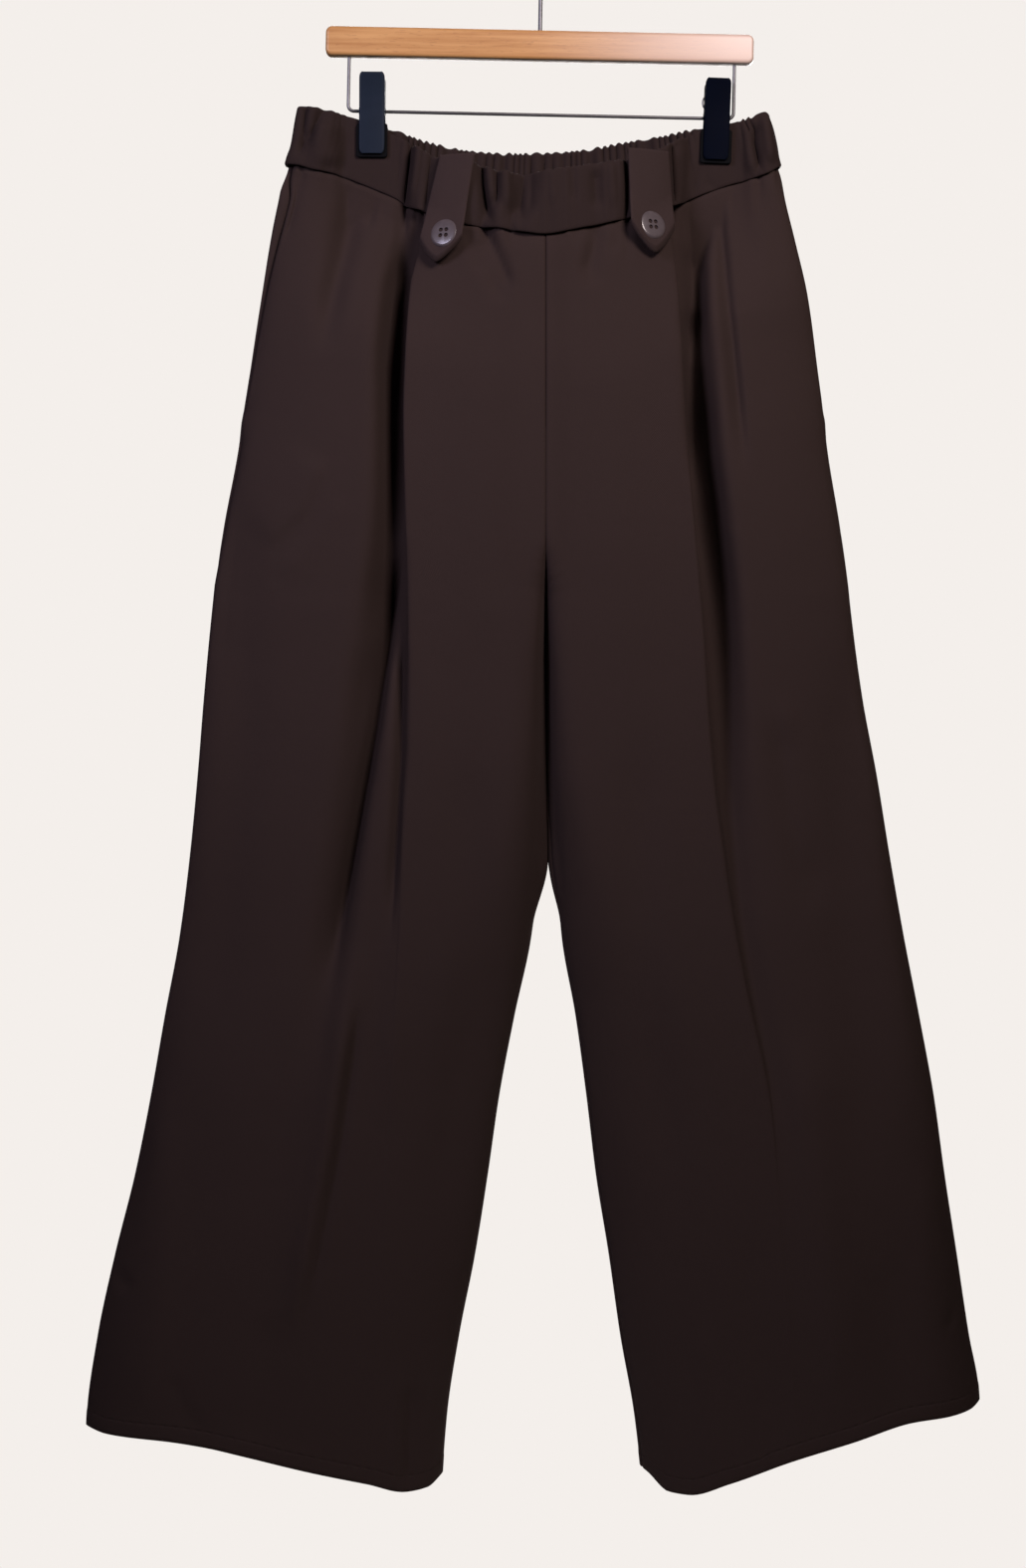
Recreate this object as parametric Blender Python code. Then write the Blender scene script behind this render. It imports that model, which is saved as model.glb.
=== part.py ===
"""Wide-leg pull-on trousers held by the waistband in a wooden clip hanger.

Metres, +Z up. The origin is the inside of the hook's crown, where the hook sits on a rail. The front of the trousers
faces -Y, so the wearer's right side is at -X. The tables below are in millimetres: x runs to the wearer's left, down
is measured below the origin, and fwd is measured towards the front.
"""

import math

import bmesh
import bpy
import numpy as np
from mathutils import Matrix, Vector

for old in list(bpy.context.scene.objects):
    bpy.data.objects.remove(old, do_unlink=True)

MM = 0.001

# ---------------------------------------------------------------- sizes

CLOTH = 1.2  # wall of the leg panels
BAND = 3.0  # wall of the gathered elastic waistband, which is folded over its elastic
TAB = 2.4  # folded and stitched tab
BAG = 1.6  # pocket bag, two thin layers lying together
SEAM = 0.3  # gap between two pieces where they are sewn
CENTRE_X = 2.3  # centre front and centre back seam
CROTCH = 529.6  # where the four leg panels meet
J_FRONT = 478.0  # the front seam starts to curve under
J_BACK = 430.0  # the back seam starts to curve under
FLAT = 2.6  # the cloth turns the side seams with a short flat this far from the side plane
RELEASE = 125.0  # how far below the waist seam the pinch of the clips still shows
SIDE_ROUND = 1.12  # how sharply the panels fall to the side seam, 1 is an ellipse

TILT = math.radians(1.2)  # the hanger hangs a little lower at the wearer's left
BAR_LONG, BAR_TALL, BAR_DEEP, BAR_TOP = 335.0, 22.8, 12.0, 86.5
WIRE_R, WIRE_FROM, WIRE_TO, WIRE_DOWN, WIRE_BEND = 1.3, -149.0, 152.9, 151.8, 4.5
HOOK_R, CROOK_R, HOOK_BEND = 1.6, 20.0, 9.0
JAW_WIDE, JAW_THICK, JAW_UP, JAW_LOW = 19.0, 1.8, 28.5, 34.5
PAD_WIDE, PAD_THICK, PAD_FROM, PAD_TO, PAD_FWD = 24.4, 2.6, 10.5, 37.2, 5.2
BARREL_R, BARREL_BORE = 3.5, 1.7
BUTTON_R, BUTTON_THICK, BUTTON_RIM, BUTTON_HOLE, BUTTON_PITCH = 11.6, 3.6, 2.0, 1.15, 4.6


def table(columns, *rows):
    return {name: np.array([row[i] for row in rows], float) for i, name in enumerate(columns.split())}


# The leg's outline seen from the front, from the waist to the hem.
SIDE_RIGHT = table(
    "down x",
    (145, -190), (155, -192), (178, -196), (186, -199), (218, -207), (249, -213), (296, -221.5), (358, -231),
    (420, -240.5), (483, -252), (545, -259), (608, -265), (670, -270), (732, -276), (795, -284), (857, -295.5),
    (920, -306.5), (982, -319), (1044, -334.5), (1107, -348), (1169, -356.5), (1200, -357.5), (1250, -358),
)
SIDE_LEFT = table(
    "down x",
    (145, 175.5), (155, 176.5), (166, 180), (178, 182.7), (186, 184), (202, 189), (218, 192), (249, 199.5),
    (296, 210), (358, 217.5), (420, 225.5), (483, 235.5), (545, 242), (608, 250.5), (670, 262), (732, 272),
    (795, 283), (857, 295), (920, 306.5), (982, 315), (1044, 324.5), (1107, 334), (1148, 341.5), (1169, 342.5),
    (1200, 342.5), (1250, 342.5),
)
# The inner edge: the centre seam above the crotch, the inside of the leg below it. corner is how far the leg takes to
# round from its inner edge to the crown of its front, and to the crown of its back.
INNER_RIGHT = table(
    "down x corner corner_back",
    (145, 2.1, 1, 1), (470, 2.1, 4, 8), (500, 2.1, 7, 18), (530, 2.1, 11, 32), (560, 2.1, 20, 46), (608, 1.7, 38, 66),
    (670, 0.7, 62, 88), (732, -0.9, 86, 105), (795, -7.8, 104, 118), (857, -21, 112, 124), (920, -33, 120, 130),
    (982, -42, 126, 134), (1044, -52, 132, 138), (1107, -64.5, 136, 142), (1169, -74, 138, 144), (1250, -80, 138, 144),
)
INNER_LEFT = table(
    "down x corner corner_back",
    (145, 2.5, 1, 1), (470, 2.5, 4, 8), (500, 2.5, 7, 18), (530, 2.5, 11, 32), (560, 2.6, 20, 46), (608, 3.2, 38, 66),
    (670, 5.2, 62, 88), (732, 9.6, 86, 105), (795, 14.2, 104, 118), (857, 25, 112, 124), (920, 33.5, 120, 130),
    (982, 41, 126, 134), (1044, 51, 132, 138), (1107, 60, 136, 142), (1169, 71, 138, 144), (1250, 80, 138, 144),
)
# How far the front and the back stand from the middle plane.
BODY = table(
    "down front back",
    (145, 38, 28), (250, 38, 30), (300, 41, 34), (358, 43, 38), (420, 43, 41), (483, 41, 41), (530, 38, 38),
    (608, 36, 34), (670, 36, 33), (795, 38, 34), (920, 40, 36), (1044, 43, 39), (1169, 46, 43), (1250, 47, 44),
)
# The waistband: its upper and lower edge, and how far it stands forward of the side plane. It is pinched flat where
# the two clips hold it, and bows out between them.
WAIST_FRONT = table(
    "x top bottom fwd",
    (-205, 144, 191, 11), (-190, 146, 193.5, 12), (-178, 148, 197.2, 12), (-165, 150.2, 199, 8), (-155, 152.5, 201.5, 2),
    (-148, 154.5, 204, 1.9), (-133, 160, 210, 1.9), (-113, 169.5, 219, 1.9), (-103, 175.5, 226.5, 10), (-92, 184, 231, 18), (-79, 190.2, 237, 24),
    (-56, 194.0, 244.2, 30.5), (-35, 201.9, 247.2, 35), (-16, 204.6, 250.5, 37.4), (0, 203.3, 252.3, 38),
    (33, 198.5, 246.6, 36.5), (60, 193.5, 240.2, 32), (83, 186.9, 232.4, 25), (103, 175, 225, 12),
    (115, 168, 219, 1.9), (137, 160.5, 210.4, 1.9), (151, 158, 206, 1.9), (156, 156.5, 205, 2), (166, 154, 202.4, 8), (176, 151.5, 199.4, 11),
    (190, 149, 190.5, 11), (205, 147, 187, 10),
)
WAIST_BACK = table(
    "x top bottom fwd",
    (-205, 144, 191, 10), (-190, 146, 193.5, 11), (-178, 148, 196.5, 11), (-165, 150.2, 198.5, 7), (-155, 152.5, 200.5, 2),
    (-148, 154.5, 202, 1.9), (-133, 160, 207, 1.9), (-113, 164.6, 213, 1.9), (-103, 166.8, 215.5, 9), (-90, 169.3, 218, 18), (-58, 174.1, 222, 26),
    (-27, 175.8, 224, 29), (4, 175, 224, 30), (35, 172.9, 222, 28), (66, 168.2, 217, 23), (97, 165.2, 214, 13),
    (107, 164.5, 212.5, 6), (115, 163.5, 211, 1.9), (137, 160.5, 207, 1.9), (151, 158, 204, 1.9), (156, 156.5, 203.4, 2), (166, 154, 201.4, 7),
    (176, 151, 199, 10), (190, 149, 190.5, 10), (205, 147, 187, 9),
)
# The hem, lower at the inside of each leg because the legs splay.
HEM_RIGHT = table(
    "x down",
    (-370, 1174), (-355, 1177), (-339, 1180), (-292, 1182), (-261, 1185.5), (-230, 1192), (-183, 1203.6), (-136, 1215),
    (-105, 1223.5), (-90, 1222), (-80, 1215), (-70, 1208),
)
HEM_LEFT = table(
    "x down",
    (66, 1203), (82, 1211), (98, 1224), (113, 1225), (144, 1214.5), (191, 1196), (238, 1181.5), (285, 1168),
    (316, 1165), (332, 1162), (345, 1155), (360, 1150),
)
# The side seam lies a little in front of the right edge; the inseam is a little behind the edge on the right leg and
# a little in front of it on the left leg.
SHIFT_RIGHT = table("down side inner", (145, 0, 0), (196, 1, 0), (221, 9, 0), (258, 6, 0), (300, 3.5, 0), (540, 3, 0), (620, 2, -6), (760, 2, -10), (1250, 3, -10))
SHIFT_LEFT = table("down side inner", (145, 0, 0), (540, 0, 0), (620, 0, 4), (760, 0, 8), (1250, 0, 8))
# One knife pleat in each front panel. Its fold points to the side seam at x; under is how far the cloth goes back
# behind it, gap the space between its layers, sunk how much deeper the cloth lies beside the fold and mouth how wide
# that hollow is. open goes from 0, folded, to 1, a soft step of that height.
PLEAT_RIGHT = table(
    "down x under gap sunk mouth open step",
    (190, -92, 13, 2.9, 0.5, 6, 0.0, 6), (237, -94, 13, 3.0, 1.5, 8, 0.0, 7), (257, -96.7, 13, 3.1, 3.0, 10, 0.0, 9),
    (289, -104, 13, 3.2, 4.5, 11, 0.0, 11), (345, -107.6, 12, 3.3, 5.0, 12, 0.0, 12), (389, -109, 11, 3.4, 5.0, 12.5, 0.0, 12),
    (452, -108, 8, 3.5, 5.0, 14.5, 0.1, 12), (514, -106.5, 5, 3.5, 4.5, 18, 0.35, 11), (560, -106, 3, 3.4, 3.0, 20, 0.7, 9),
    (600, -107, 2, 3.2, 2.0, 20, 0.95, 6), (660, -109, 2, 3.0, 1.0, 18, 1.0, 2.2), (760, -110, 2, 3.0, 0.0, 16, 1.0, 1.2),
    (900, -116, 2, 3.0, 0.0, 16, 1.0, 0.4), (1250, -135, 2, 3.0, 0.0, 16, 1.0, 0.0),
)
PLEAT_LEFT = table(
    "down x under gap sunk mouth open step",
    (190, 103, 13, 2.9, 0.5, 6, 0.0, 6), (249, 105, 13, 3.0, 1.5, 10, 0.0, 8), (268, 107.6, 13, 3.1, 3.0, 12, 0.0, 10),
    (320, 111.5, 13, 3.3, 5.0, 15, 0.0, 12), (358, 113, 12, 3.4, 5.5, 17, 0.0, 13), (410, 116, 11, 3.5, 6.0, 19, 0.0, 14),
    (475, 121.7, 10, 3.6, 6.5, 21, 0.0, 15), (515, 125.6, 9, 3.6, 6.5, 21, 0.1, 15), (567, 130, 7, 3.6, 6.0, 19.5, 0.2, 14),
    (619, 133, 5, 3.5, 5.0, 17.5, 0.35, 12), (680, 137, 3, 3.3, 3.5, 14, 0.6, 9), (729, 142.7, 2, 3.2, 2.0, 12, 0.85, 6.5),
    (786, 149.8, 2, 3.0, 1.0, 11, 1.0, 4.5), (850, 160.7, 2, 3.0, 0.5, 11, 1.0, 3.5), (905, 171.6, 2, 3.0, 0.0, 11, 1.0, 2.4),
    (945, 177, 2, 3.0, 0.0, 12, 1.0, 1.2), (1000, 181, 2, 3.0, 0.0, 14, 1.0, 0.3), (1250, 200, 2, 3.0, 0.0, 16, 1.0, 0.0),
)
# The largest creases of the legs: a path through three places, how wide each flank is, towards the wearer's right and
# left, and how far it rises (or sinks, below 0).
CREASES = table(
    "x0 down0 x1 down1 x2 down2 wide_right wide_left rise",
    (-131, 560, -139, 660, -172, 860, 13, 10, -5.0),
    (-147, 790, -166, 950, -192, 1120, 20, 14, 4.5),
    (-112, 640, -113, 800, -120, 960, 9, 12, 2.0),
    (-240, 420, -232, 640, -262, 900, 26, 20, -3.5),
    (-60, 640, -52, 830, -92, 1060, 18, 22, -3.0),
    (-300, 900, -296, 1050, -318, 1190, 22, 18, 3.0),
    (182, 620, 196, 700, 214, 780, 14, 12, -3.0),
    (76, 620, 74, 800, 108, 1040, 20, 18, -3.0),
    (236, 560, 232, 760, 262, 1010, 22, 24, -3.5),
    (196, 860, 214, 1010, 232, 1180, 16, 22, 4.0),
    (296, 960, 300, 1080, 318, 1190, 16, 18, 2.5),
    (-48, 250, -40, 275, -30, 310, 6, 8, -3.0),
    (45, 245, 40, 268, 36, 296, 7, 9, -2.5),
    (-142, 215, -154, 260, -172, 320, 12, 12, -3.0),
)
CREASES_BACK = table(
    "x0 down0 x1 down1 x2 down2 wide_right wide_left rise",
    (-120, 560, -132, 780, -178, 1150, 18, 18, 5.0),
    (128, 560, 142, 780, 196, 1150, 18, 18, 5.0),
    (-200, 380, -212, 620, -262, 980, 24, 20, -3.0),
    (205, 360, 208, 640, 258, 1000, 20, 26, -3.5),
    (-62, 620, -58, 820, -98, 1090, 16, 20, -3.0),
    (70, 600, 66, 800, 104, 1060, 18, 18, -3.0),
    (-70, 260, -66, 340, -52, 450, 12, 14, -2.5),
    (78, 250, 70, 330, 58, 430, 14, 12, -2.5),
)
# Gathers of the waistband, seen from the front: where each runs and how deep it is.
GATHERS = table(
    "x top_x wide rise",
    (-176, -172, 4.0, 1.0), (-108, -103, 4.0, -3.0), (-97, -95, 4.5, 1.6), (-47, -42, 5.0, -4.5), (-33, -36, 4.0, 2.0),
    (-24, -26, 3.6, -2.2), (-10, -9, 7.0, 1.0), (18, 16, 8.0, 1.2), (42, 40, 6.0, -1.6), (64, 66, 3.6, -4.0),
    (98, 97, 4.0, 1.8), (112, 115, 4.0, -2.0), (168, 164, 5.0, -1.2),
)
# The two pointed tabs: the middle and half width of the upper end, of the shoulders and the place of the tip.
TABS = table(
    "side top_x top_down top_half low_x low_down low_half tip_x tip_down",
    (-1, -66, 190.5, 13.6, -78.5, 251.5, 16.4, -83, 268.5),
    (1, 81.5, 186.5, 16.0, 85.0, 240.5, 17.2, 85.6, 261.5),
)
BUTTON_PLACES = table("side x down", (-1, -76.8, 247.5), (1, 85.3, 241.0))
POCKETS = table(
    "side top_down low_down inner_top inner_low",
    (-1, 268, 497, -168, -129), (1, 268, 480, 176, 150),
)
CLIPS = table("side x down lean barrel", (-1, -133.2, 149.0, 0.3, 23.0), (1, 136.6, 153.8, 2.1, 16.4))

RIGHT = {"out": -1, "side": SIDE_RIGHT, "inner": INNER_RIGHT, "hem": HEM_RIGHT, "shift": SHIFT_RIGHT, "pleat": PLEAT_RIGHT}
LEFT = {"out": 1, "side": SIDE_LEFT, "inner": INNER_LEFT, "hem": HEM_LEFT, "shift": SHIFT_LEFT, "pleat": PLEAT_LEFT}

# ---------------------------------------------------------------- forms of the cloth


def read(rows, column, at):
    """A column's value at a place in the table's first column, eased through the rows."""
    d, v = rows[next(iter(rows))], rows[column]
    h = np.diff(d)
    s = np.diff(v) / h
    m = np.zeros(len(d))
    m[0], m[-1] = s[0], s[-1]
    same = s[:-1] * s[1:] > 0
    m[1:-1][same] = 2 * (s[:-1] * s[1:])[same] / (s[:-1] + s[1:])[same]
    at = np.clip(at, d[0], d[-1])
    i = np.clip(np.searchsorted(d, at, side="right") - 1, 0, len(h) - 1)
    t = (at - d[i]) / h[i]
    return (
        (2 * t**3 - 3 * t**2 + 1) * v[i]
        + (t**3 - 2 * t**2 + t) * h[i] * m[i]
        + (3 * t**2 - 2 * t**3) * v[i + 1]
        + (t**3 - t**2) * h[i] * m[i + 1]
    )


def ease(t):
    t = np.clip(t, 0.0, 1.0)
    return t * t * (3 - 2 * t)


def waist_edge(x, down):
    """1 in the middle of the waist, rounding to 0 at its two side ends."""
    side = np.where(x < CENTRE_X, read(SIDE_RIGHT, "x", down), read(SIDE_LEFT, "x", down))
    across = np.clip(np.abs((x - CENTRE_X) / (side - CENTRE_X)), 0, 1)
    return np.sqrt(1 - across**24)


def waist_fwd(x, down, face):
    """How far the middle of the waistband, or the cloth sewn to it, stands forward: face is 1 in front, -1 behind."""
    return face * (FLAT + (read(WAIST_FRONT if face > 0 else WAIST_BACK, "fwd", x) - FLAT) * waist_edge(x, down))


def half_ring(leg, down, face):
    """The front or back line of one half at a height, from the inner edge to the side, as many (x, fwd) points."""
    xi, xs = read(leg["inner"], "x", down), read(leg["side"], "x", down)
    deep = read(BODY, "front" if face > 0 else "back", down)
    corner = read(leg["inner"], "corner" if face > 0 else "corner_back", down)
    start = J_FRONT if face > 0 else J_BACK
    turned = np.clip((down - start) / (CROTCH - start), 0, 1)
    xi += leg["out"] * (CLOTH / 2 + SEAM) * ease((down - start + 14) / 22)
    first = math.asin(min(1.0, 1 - turned**2))
    a = np.linspace(first, math.pi / 2, 60)
    x = xi + leg["out"] * corner * (math.cos(first) - np.cos(a))
    f = deep * np.sin(a)
    b = np.linspace(0, math.pi / 2, 160)[1:]
    x = np.concatenate([x, x[-1] + (xs - x[-1]) * np.sin(b)])
    f = np.concatenate([f, FLAT + (deep - FLAT) * np.abs(np.cos(b)) ** SIDE_ROUND])
    seam = read(WAIST_FRONT if face > 0 else WAIST_BACK, "bottom", x)
    hold = 1 - ease((down - seam) / RELEASE)
    f = (1 - hold) * f * face + hold * waist_fwd(x, np.full_like(x, down), face)
    return np.stack([np.append(x, x[-1]), np.append(f, 0.0)], 1)


def spaced(points, fractions, start=0, end=0):
    """Points at those fractions of a line's length, after and before short steps at a sewn start or end."""
    run = np.concatenate([[0], np.cumsum(np.linalg.norm(np.diff(points, axis=0), axis=1))])
    at = np.asarray(fractions) * run[-1]
    if start:
        at = np.concatenate([SEWN_STEPS, at])
    if end:
        at = np.concatenate([at, run[-1] - SEWN_STEPS[::-1]])
    return np.stack([np.interp(at, run, points[:, k]) for k in (0, 1)], 1)


def cut(points, start, end):
    """The stretch of a line from one distance along it to another."""
    run = np.concatenate([[0], np.cumsum(np.linalg.norm(np.diff(points, axis=0), axis=1))])
    inside = (run > start) & (run < end)
    ends = [np.array([[np.interp(s, run, points[:, k]) for k in (0, 1)]]) for s in (start, end)]
    return np.concatenate([ends[0], points[inside], ends[1]])


def panel_line(leg, down, face):
    """The line of one panel at a height, with its seams moved round the edge, from its inner seam to its side seam."""
    front, back = half_ring(leg, down, 1), half_ring(leg, down, -1)
    length = [float(np.linalg.norm(np.diff(p, axis=0), axis=1).sum()) for p in (front, back)]
    side, inner = read(leg["shift"], "side", down), read(leg["shift"], "inner", down)
    loop = np.concatenate([front, back[::-1][1:]])
    if inner < -0.01:
        loop = np.concatenate([back[::-1], front[1:], back[::-1][1:]])
        start, total = length[1] + inner, 2 * length[1] + length[0]
        seam, end = length[1] + length[0] - side, total + inner
    else:
        start, seam, end = inner, length[0] - side, sum(length)
        if inner > 0.01:
            loop = np.concatenate([loop, front[1:]])
            end = sum(length) + inner
    closed = SEAM / 2 if down >= CROTCH - 1 else 0.0
    if face > 0:
        return cut(loop, start + closed, seam - SEAM / 2)
    return cut(loop, seam + SEAM / 2, end - closed)[::-1]


SEWN_STEPS = np.array([0.0, 1.1, 2.4])
INNER_STEPS = (0.1, 0.3, 0.56, 0.82)
OUTER_STEPS = (0.25, 0.5, 0.74, 0.91)
BACK_STEPS = (0.05, 0.17, 0.34, 0.54, 0.74, 0.91)


def pleat_controls(leg, down, line):
    """The points that carry a front panel's section: plain cloth, the pleat's folds, plain cloth to the side."""
    p = {name: float(read(leg["pleat"], name, down)) for name in leg["pleat"] if name != "down"}
    out, u, h, q, m, s = leg["out"], p["under"], p["gap"], p["sunk"], p["mouth"], p["step"]
    folded = np.array(
        [(-8, 0), (-1, 0.3), (0.6, 0), (0.6, -h), (-u * 0.45, -h), (-u, -h), (-u, -2 * h), (-u * 0.45, -2 * h),
         (m * 0.25, -2 * h - q), (m * 0.8, -2 * h - q), (m + 6, -h), (m + 20, 0)], float)
    soft = np.array(
        [(-8, 0), (-3, 0.02 * s), (0, -0.1 * s), (3, -0.35 * s), (5, -0.6 * s), (7, -0.8 * s), (9, -0.94 * s), (11, -s),
         (13, -s), (m + 2, -0.72 * s), (m + 9, -0.3 * s), (m + 22, 0)], float)
    offset = folded + (soft - folded) * p["open"]
    pick = np.argmax(out * line[:, 0] > out * line[0, 0] + 0.5)
    mono = line[pick:]
    order = np.argsort(out * mono[:, 0])
    across = out * mono[order, 0]
    here = out * p["x"] + offset[:, 0]
    fwd = np.interp(here, across, mono[order, 1]) + offset[:, 1]
    fold = np.stack([out * here, fwd], 1)
    run = np.concatenate([[0], np.cumsum(np.linalg.norm(np.diff(line, axis=0), axis=1))])
    crown = int(np.argmax(out * line[:, 0] > out * p["x"] - 8))
    after = int(np.argmax(out * line[:, 0] > here[-1]))
    inner = spaced(cut(line, 0, run[crown]), INNER_STEPS, start=1)
    outer = spaced(cut(line, run[after], run[-1]), OUTER_STEPS, end=1)
    return np.concatenate([inner, fold, outer])


def bspline(controls, at):
    """Points on the smooth curve that the controls carry, at places counted in controls. controls is (level, n, 2)."""
    first, last = 2 * controls[:, :1] - controls[:, 1:2], 2 * controls[:, -1:] - controls[:, -2:-1]
    p = np.concatenate([first, controls, last], 1)
    i = np.clip(at.astype(int), 0, controls.shape[1] - 2)
    t = (at - i)[None, :, None]
    return (
        (1 - t) ** 3 * p[:, i] + (3 * t**3 - 6 * t**2 + 4) * p[:, i + 1]
        + (-3 * t**3 + 3 * t**2 + 3 * t + 1) * p[:, i + 2] + t**3 * p[:, i + 3]
    ) / 6


def crease_rise(rows, x, down):
    """How far the creases lift the cloth at a place seen from the front."""
    rise = np.zeros_like(x)
    for k in range(len(rows["rise"])):
        path = [np.array([rows[f"x{i}"][k], rows[f"down{i}"][k]]) for i in range(3)]
        best, side, along = np.full_like(x, 1e9), np.zeros_like(x), np.zeros_like(x)
        for i in (0, 1):
            d = path[i + 1] - path[i]
            t = np.clip(((x - path[i][0]) * d[0] + (down - path[i][1]) * d[1]) / (d @ d), 0, 1)
            dx, dd = x - path[i][0] - t * d[0], down - path[i][1] - t * d[1]
            far = np.hypot(dx, dd)
            near = far < best
            best, side, along = np.where(near, far, best), np.where(near, dx, side), np.where(near, (i + t) / 2, along)
        wide = np.where(side < 0, rows["wide_right"][k], rows["wide_left"][k])
        rise += rows["rise"][k] * np.exp(-((best / wide) ** 2)) * ease(along * 5) * ease((1 - along) * 4)
    return rise


LEVELS = np.arange(186.0, 1242.0, 4.0)
UPPER = (0, 0.07, 0.16, 0.27, 0.4, 0.54, 0.68, 0.8, 0.87, 0.92, 0.96, 0.985, 1)
LOWER = (0.07, 0.17, 0.29, 0.42, 0.55, 0.68, 0.8, 0.9, 0.97, 1)


def leg_panel(leg, face, columns=None, upper=UPPER, lower=LOWER):
    """A grid of points on the middle of one leg panel, rows from the waist seam to the hem."""
    carry = []
    for down in LEVELS:
        line = panel_line(leg, down, face)
        carry.append(pleat_controls(leg, down, line) if face > 0 else spaced(line, BACK_STEPS, 1, 1))
    carry = np.array(carry)
    at = np.arange(carry.shape[1], dtype=float) if columns is None else columns
    section = bspline(carry, at)
    count = range(section.shape[1])
    waist, hem = np.full(len(count), 222.0), np.full(len(count), 1190.0)
    for _ in range(6):
        x_top = np.array([np.interp(waist[c], LEVELS, section[:, c, 0]) for c in count])
        x_hem = np.array([np.interp(hem[c], LEVELS, section[:, c, 0]) for c in count])
        waist = 0.5 * waist + 0.5 * (read(WAIST_FRONT if face > 0 else WAIST_BACK, "bottom", x_top) + 3.4 * SEAM)
        hem = read(leg["hem"], "down", x_hem)
    down = [waist + (CROTCH - waist) * a for a in upper] + [CROTCH + (hem - CROTCH) * b for b in lower]
    down = np.array(down)
    x, f = np.empty_like(down), np.empty_like(down)
    for c in range(down.shape[1]):
        x[:, c] = np.interp(down[:, c], LEVELS, section[:, c, 0])
        f[:, c] = np.interp(down[:, c], LEVELS, section[:, c, 1])
    edge = np.minimum(1, np.abs(x - read(leg["side"], "x", down)) / 14) * np.minimum(1, np.abs(x - read(leg["inner"], "x", down)) / 10)
    f += face * crease_rise(CREASES if face > 0 else CREASES_BACK, x, down) * ease(edge)
    return np.stack([x, f, down], 2)


def gather_rise(x, down, top, bottom):
    """How far the waistband's gathers lift it."""
    up = (bottom - down) / (bottom - top)
    rise = np.zeros_like(x)
    for k in range(len(GATHERS["x"])):
        middle = GATHERS["x"][k] + (GATHERS["top_x"][k] - GATHERS["x"][k]) * up
        rise += GATHERS["rise"][k] * np.exp(-(((x - middle) / GATHERS["wide"][k]) ** 2))
    for k in range(2):
        rise *= ease((np.abs(x - CLIPS["x"][k]) - 14) / 9)
    return rise


def waist_line(face, columns):
    """x along the waistband, evenly round its curve, closing up to short steps at its side ends."""
    t = np.linspace(-1, 1, 801)
    side = np.where(t < 0, CENTRE_X - read(SIDE_RIGHT, "x", 175.0), read(SIDE_LEFT, "x", 175.0) - CENTRE_X)
    x = CENTRE_X + side * np.sin(t * math.pi / 2)
    x, plain = np.concatenate([x[:1], x, x[-1:]]), np.concatenate([[0.0], np.ones(len(x)), [0.0]])
    line = np.stack([x, waist_fwd(x, np.full_like(x, 175.0), face) * plain, plain], 1)
    run = np.concatenate([[0], np.cumsum(np.linalg.norm(np.diff(line[:, :2], axis=0), axis=1))])
    return [np.interp(np.asarray(columns) * run[-1], run, line[:, k]) for k in (0, 2)]


def waistband(face, columns, rows):
    rows_of = WAIST_FRONT if face > 0 else WAIST_BACK
    x175, plain = waist_line(face, columns)
    side = np.where(x175 < CENTRE_X, read(SIDE_RIGHT, "x", 175.0), read(SIDE_LEFT, "x", 175.0))
    across = (x175 - CENTRE_X) / (side - CENTRE_X)
    grid = []
    for r in rows:
        x = x175
        for _ in range(3):
            top, bottom = read(rows_of, "top", x), read(rows_of, "bottom", x)
            down = bottom + (top - bottom) * r
            edge = np.where(x175 < CENTRE_X, read(SIDE_RIGHT, "x", down), read(SIDE_LEFT, "x", down))
            x = CENTRE_X + across * (edge - CENTRE_X)
        f = waist_fwd(x, down, face) * plain
        if face > 0:
            f = f + gather_rise(x, down, top, bottom) * np.minimum(1, f / 6)
        f = f + face * SEAM / 2
        grid.append(np.stack([x, f, down], 1))
    return np.array(grid)


# ---------------------------------------------------------------- solids


def material(name, colour, roughness, metallic=0.0, sheen=0.0):
    made = bpy.data.materials.new(name)
    made.use_nodes = True
    made.diffuse_color = (*colour, 1)
    shader = made.node_tree.nodes["Principled BSDF"]
    shader.inputs["Base Color"].default_value = (*colour, 1)
    shader.inputs["Roughness"].default_value = roughness
    shader.inputs["Metallic"].default_value = metallic
    shader.inputs["Sheen Weight"].default_value = sheen
    return made


def cloth_finish(name):
    return material(name, (0.030, 0.019, 0.018), 0.85, sheen=0.2)


def add(name, mesh, finish):
    o = bpy.data.objects.new(name, mesh)
    bpy.context.scene.collection.objects.link(o)
    o.data.materials.append(finish)
    o.data.shade_smooth()
    return o


def slab(name, grid, thickness, finish, flip=False):
    """A wall of even thickness about a grid of middle points (x, fwd, down)."""
    grid = np.asarray(grid)
    n, m = grid.shape[:2]
    points = [(p[0] * MM, -p[1] * MM, -p[2] * MM) for p in grid.reshape(-1, 3)]
    faces = []
    for r in range(n - 1):
        for c in range(m - 1):
            a, b, d, e = r * m + c, r * m + c + 1, (r + 1) * m + c, (r + 1) * m + c + 1
            faces += [(a, d, e), (a, e, b)] if (r + c) % 2 else [(a, d, b), (b, d, e)]
    if flip:
        faces = [f[::-1] for f in faces]
    mesh = bpy.data.meshes.new(name)
    mesh.from_pydata(points, [], faces)
    o = add(name, mesh, finish)
    wall = o.modifiers.new("wall", "SOLIDIFY")
    wall.thickness = thickness * MM
    wall.offset = 0
    wall.use_even_offset = True
    wall.use_quality_normals = True
    return o


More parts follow.
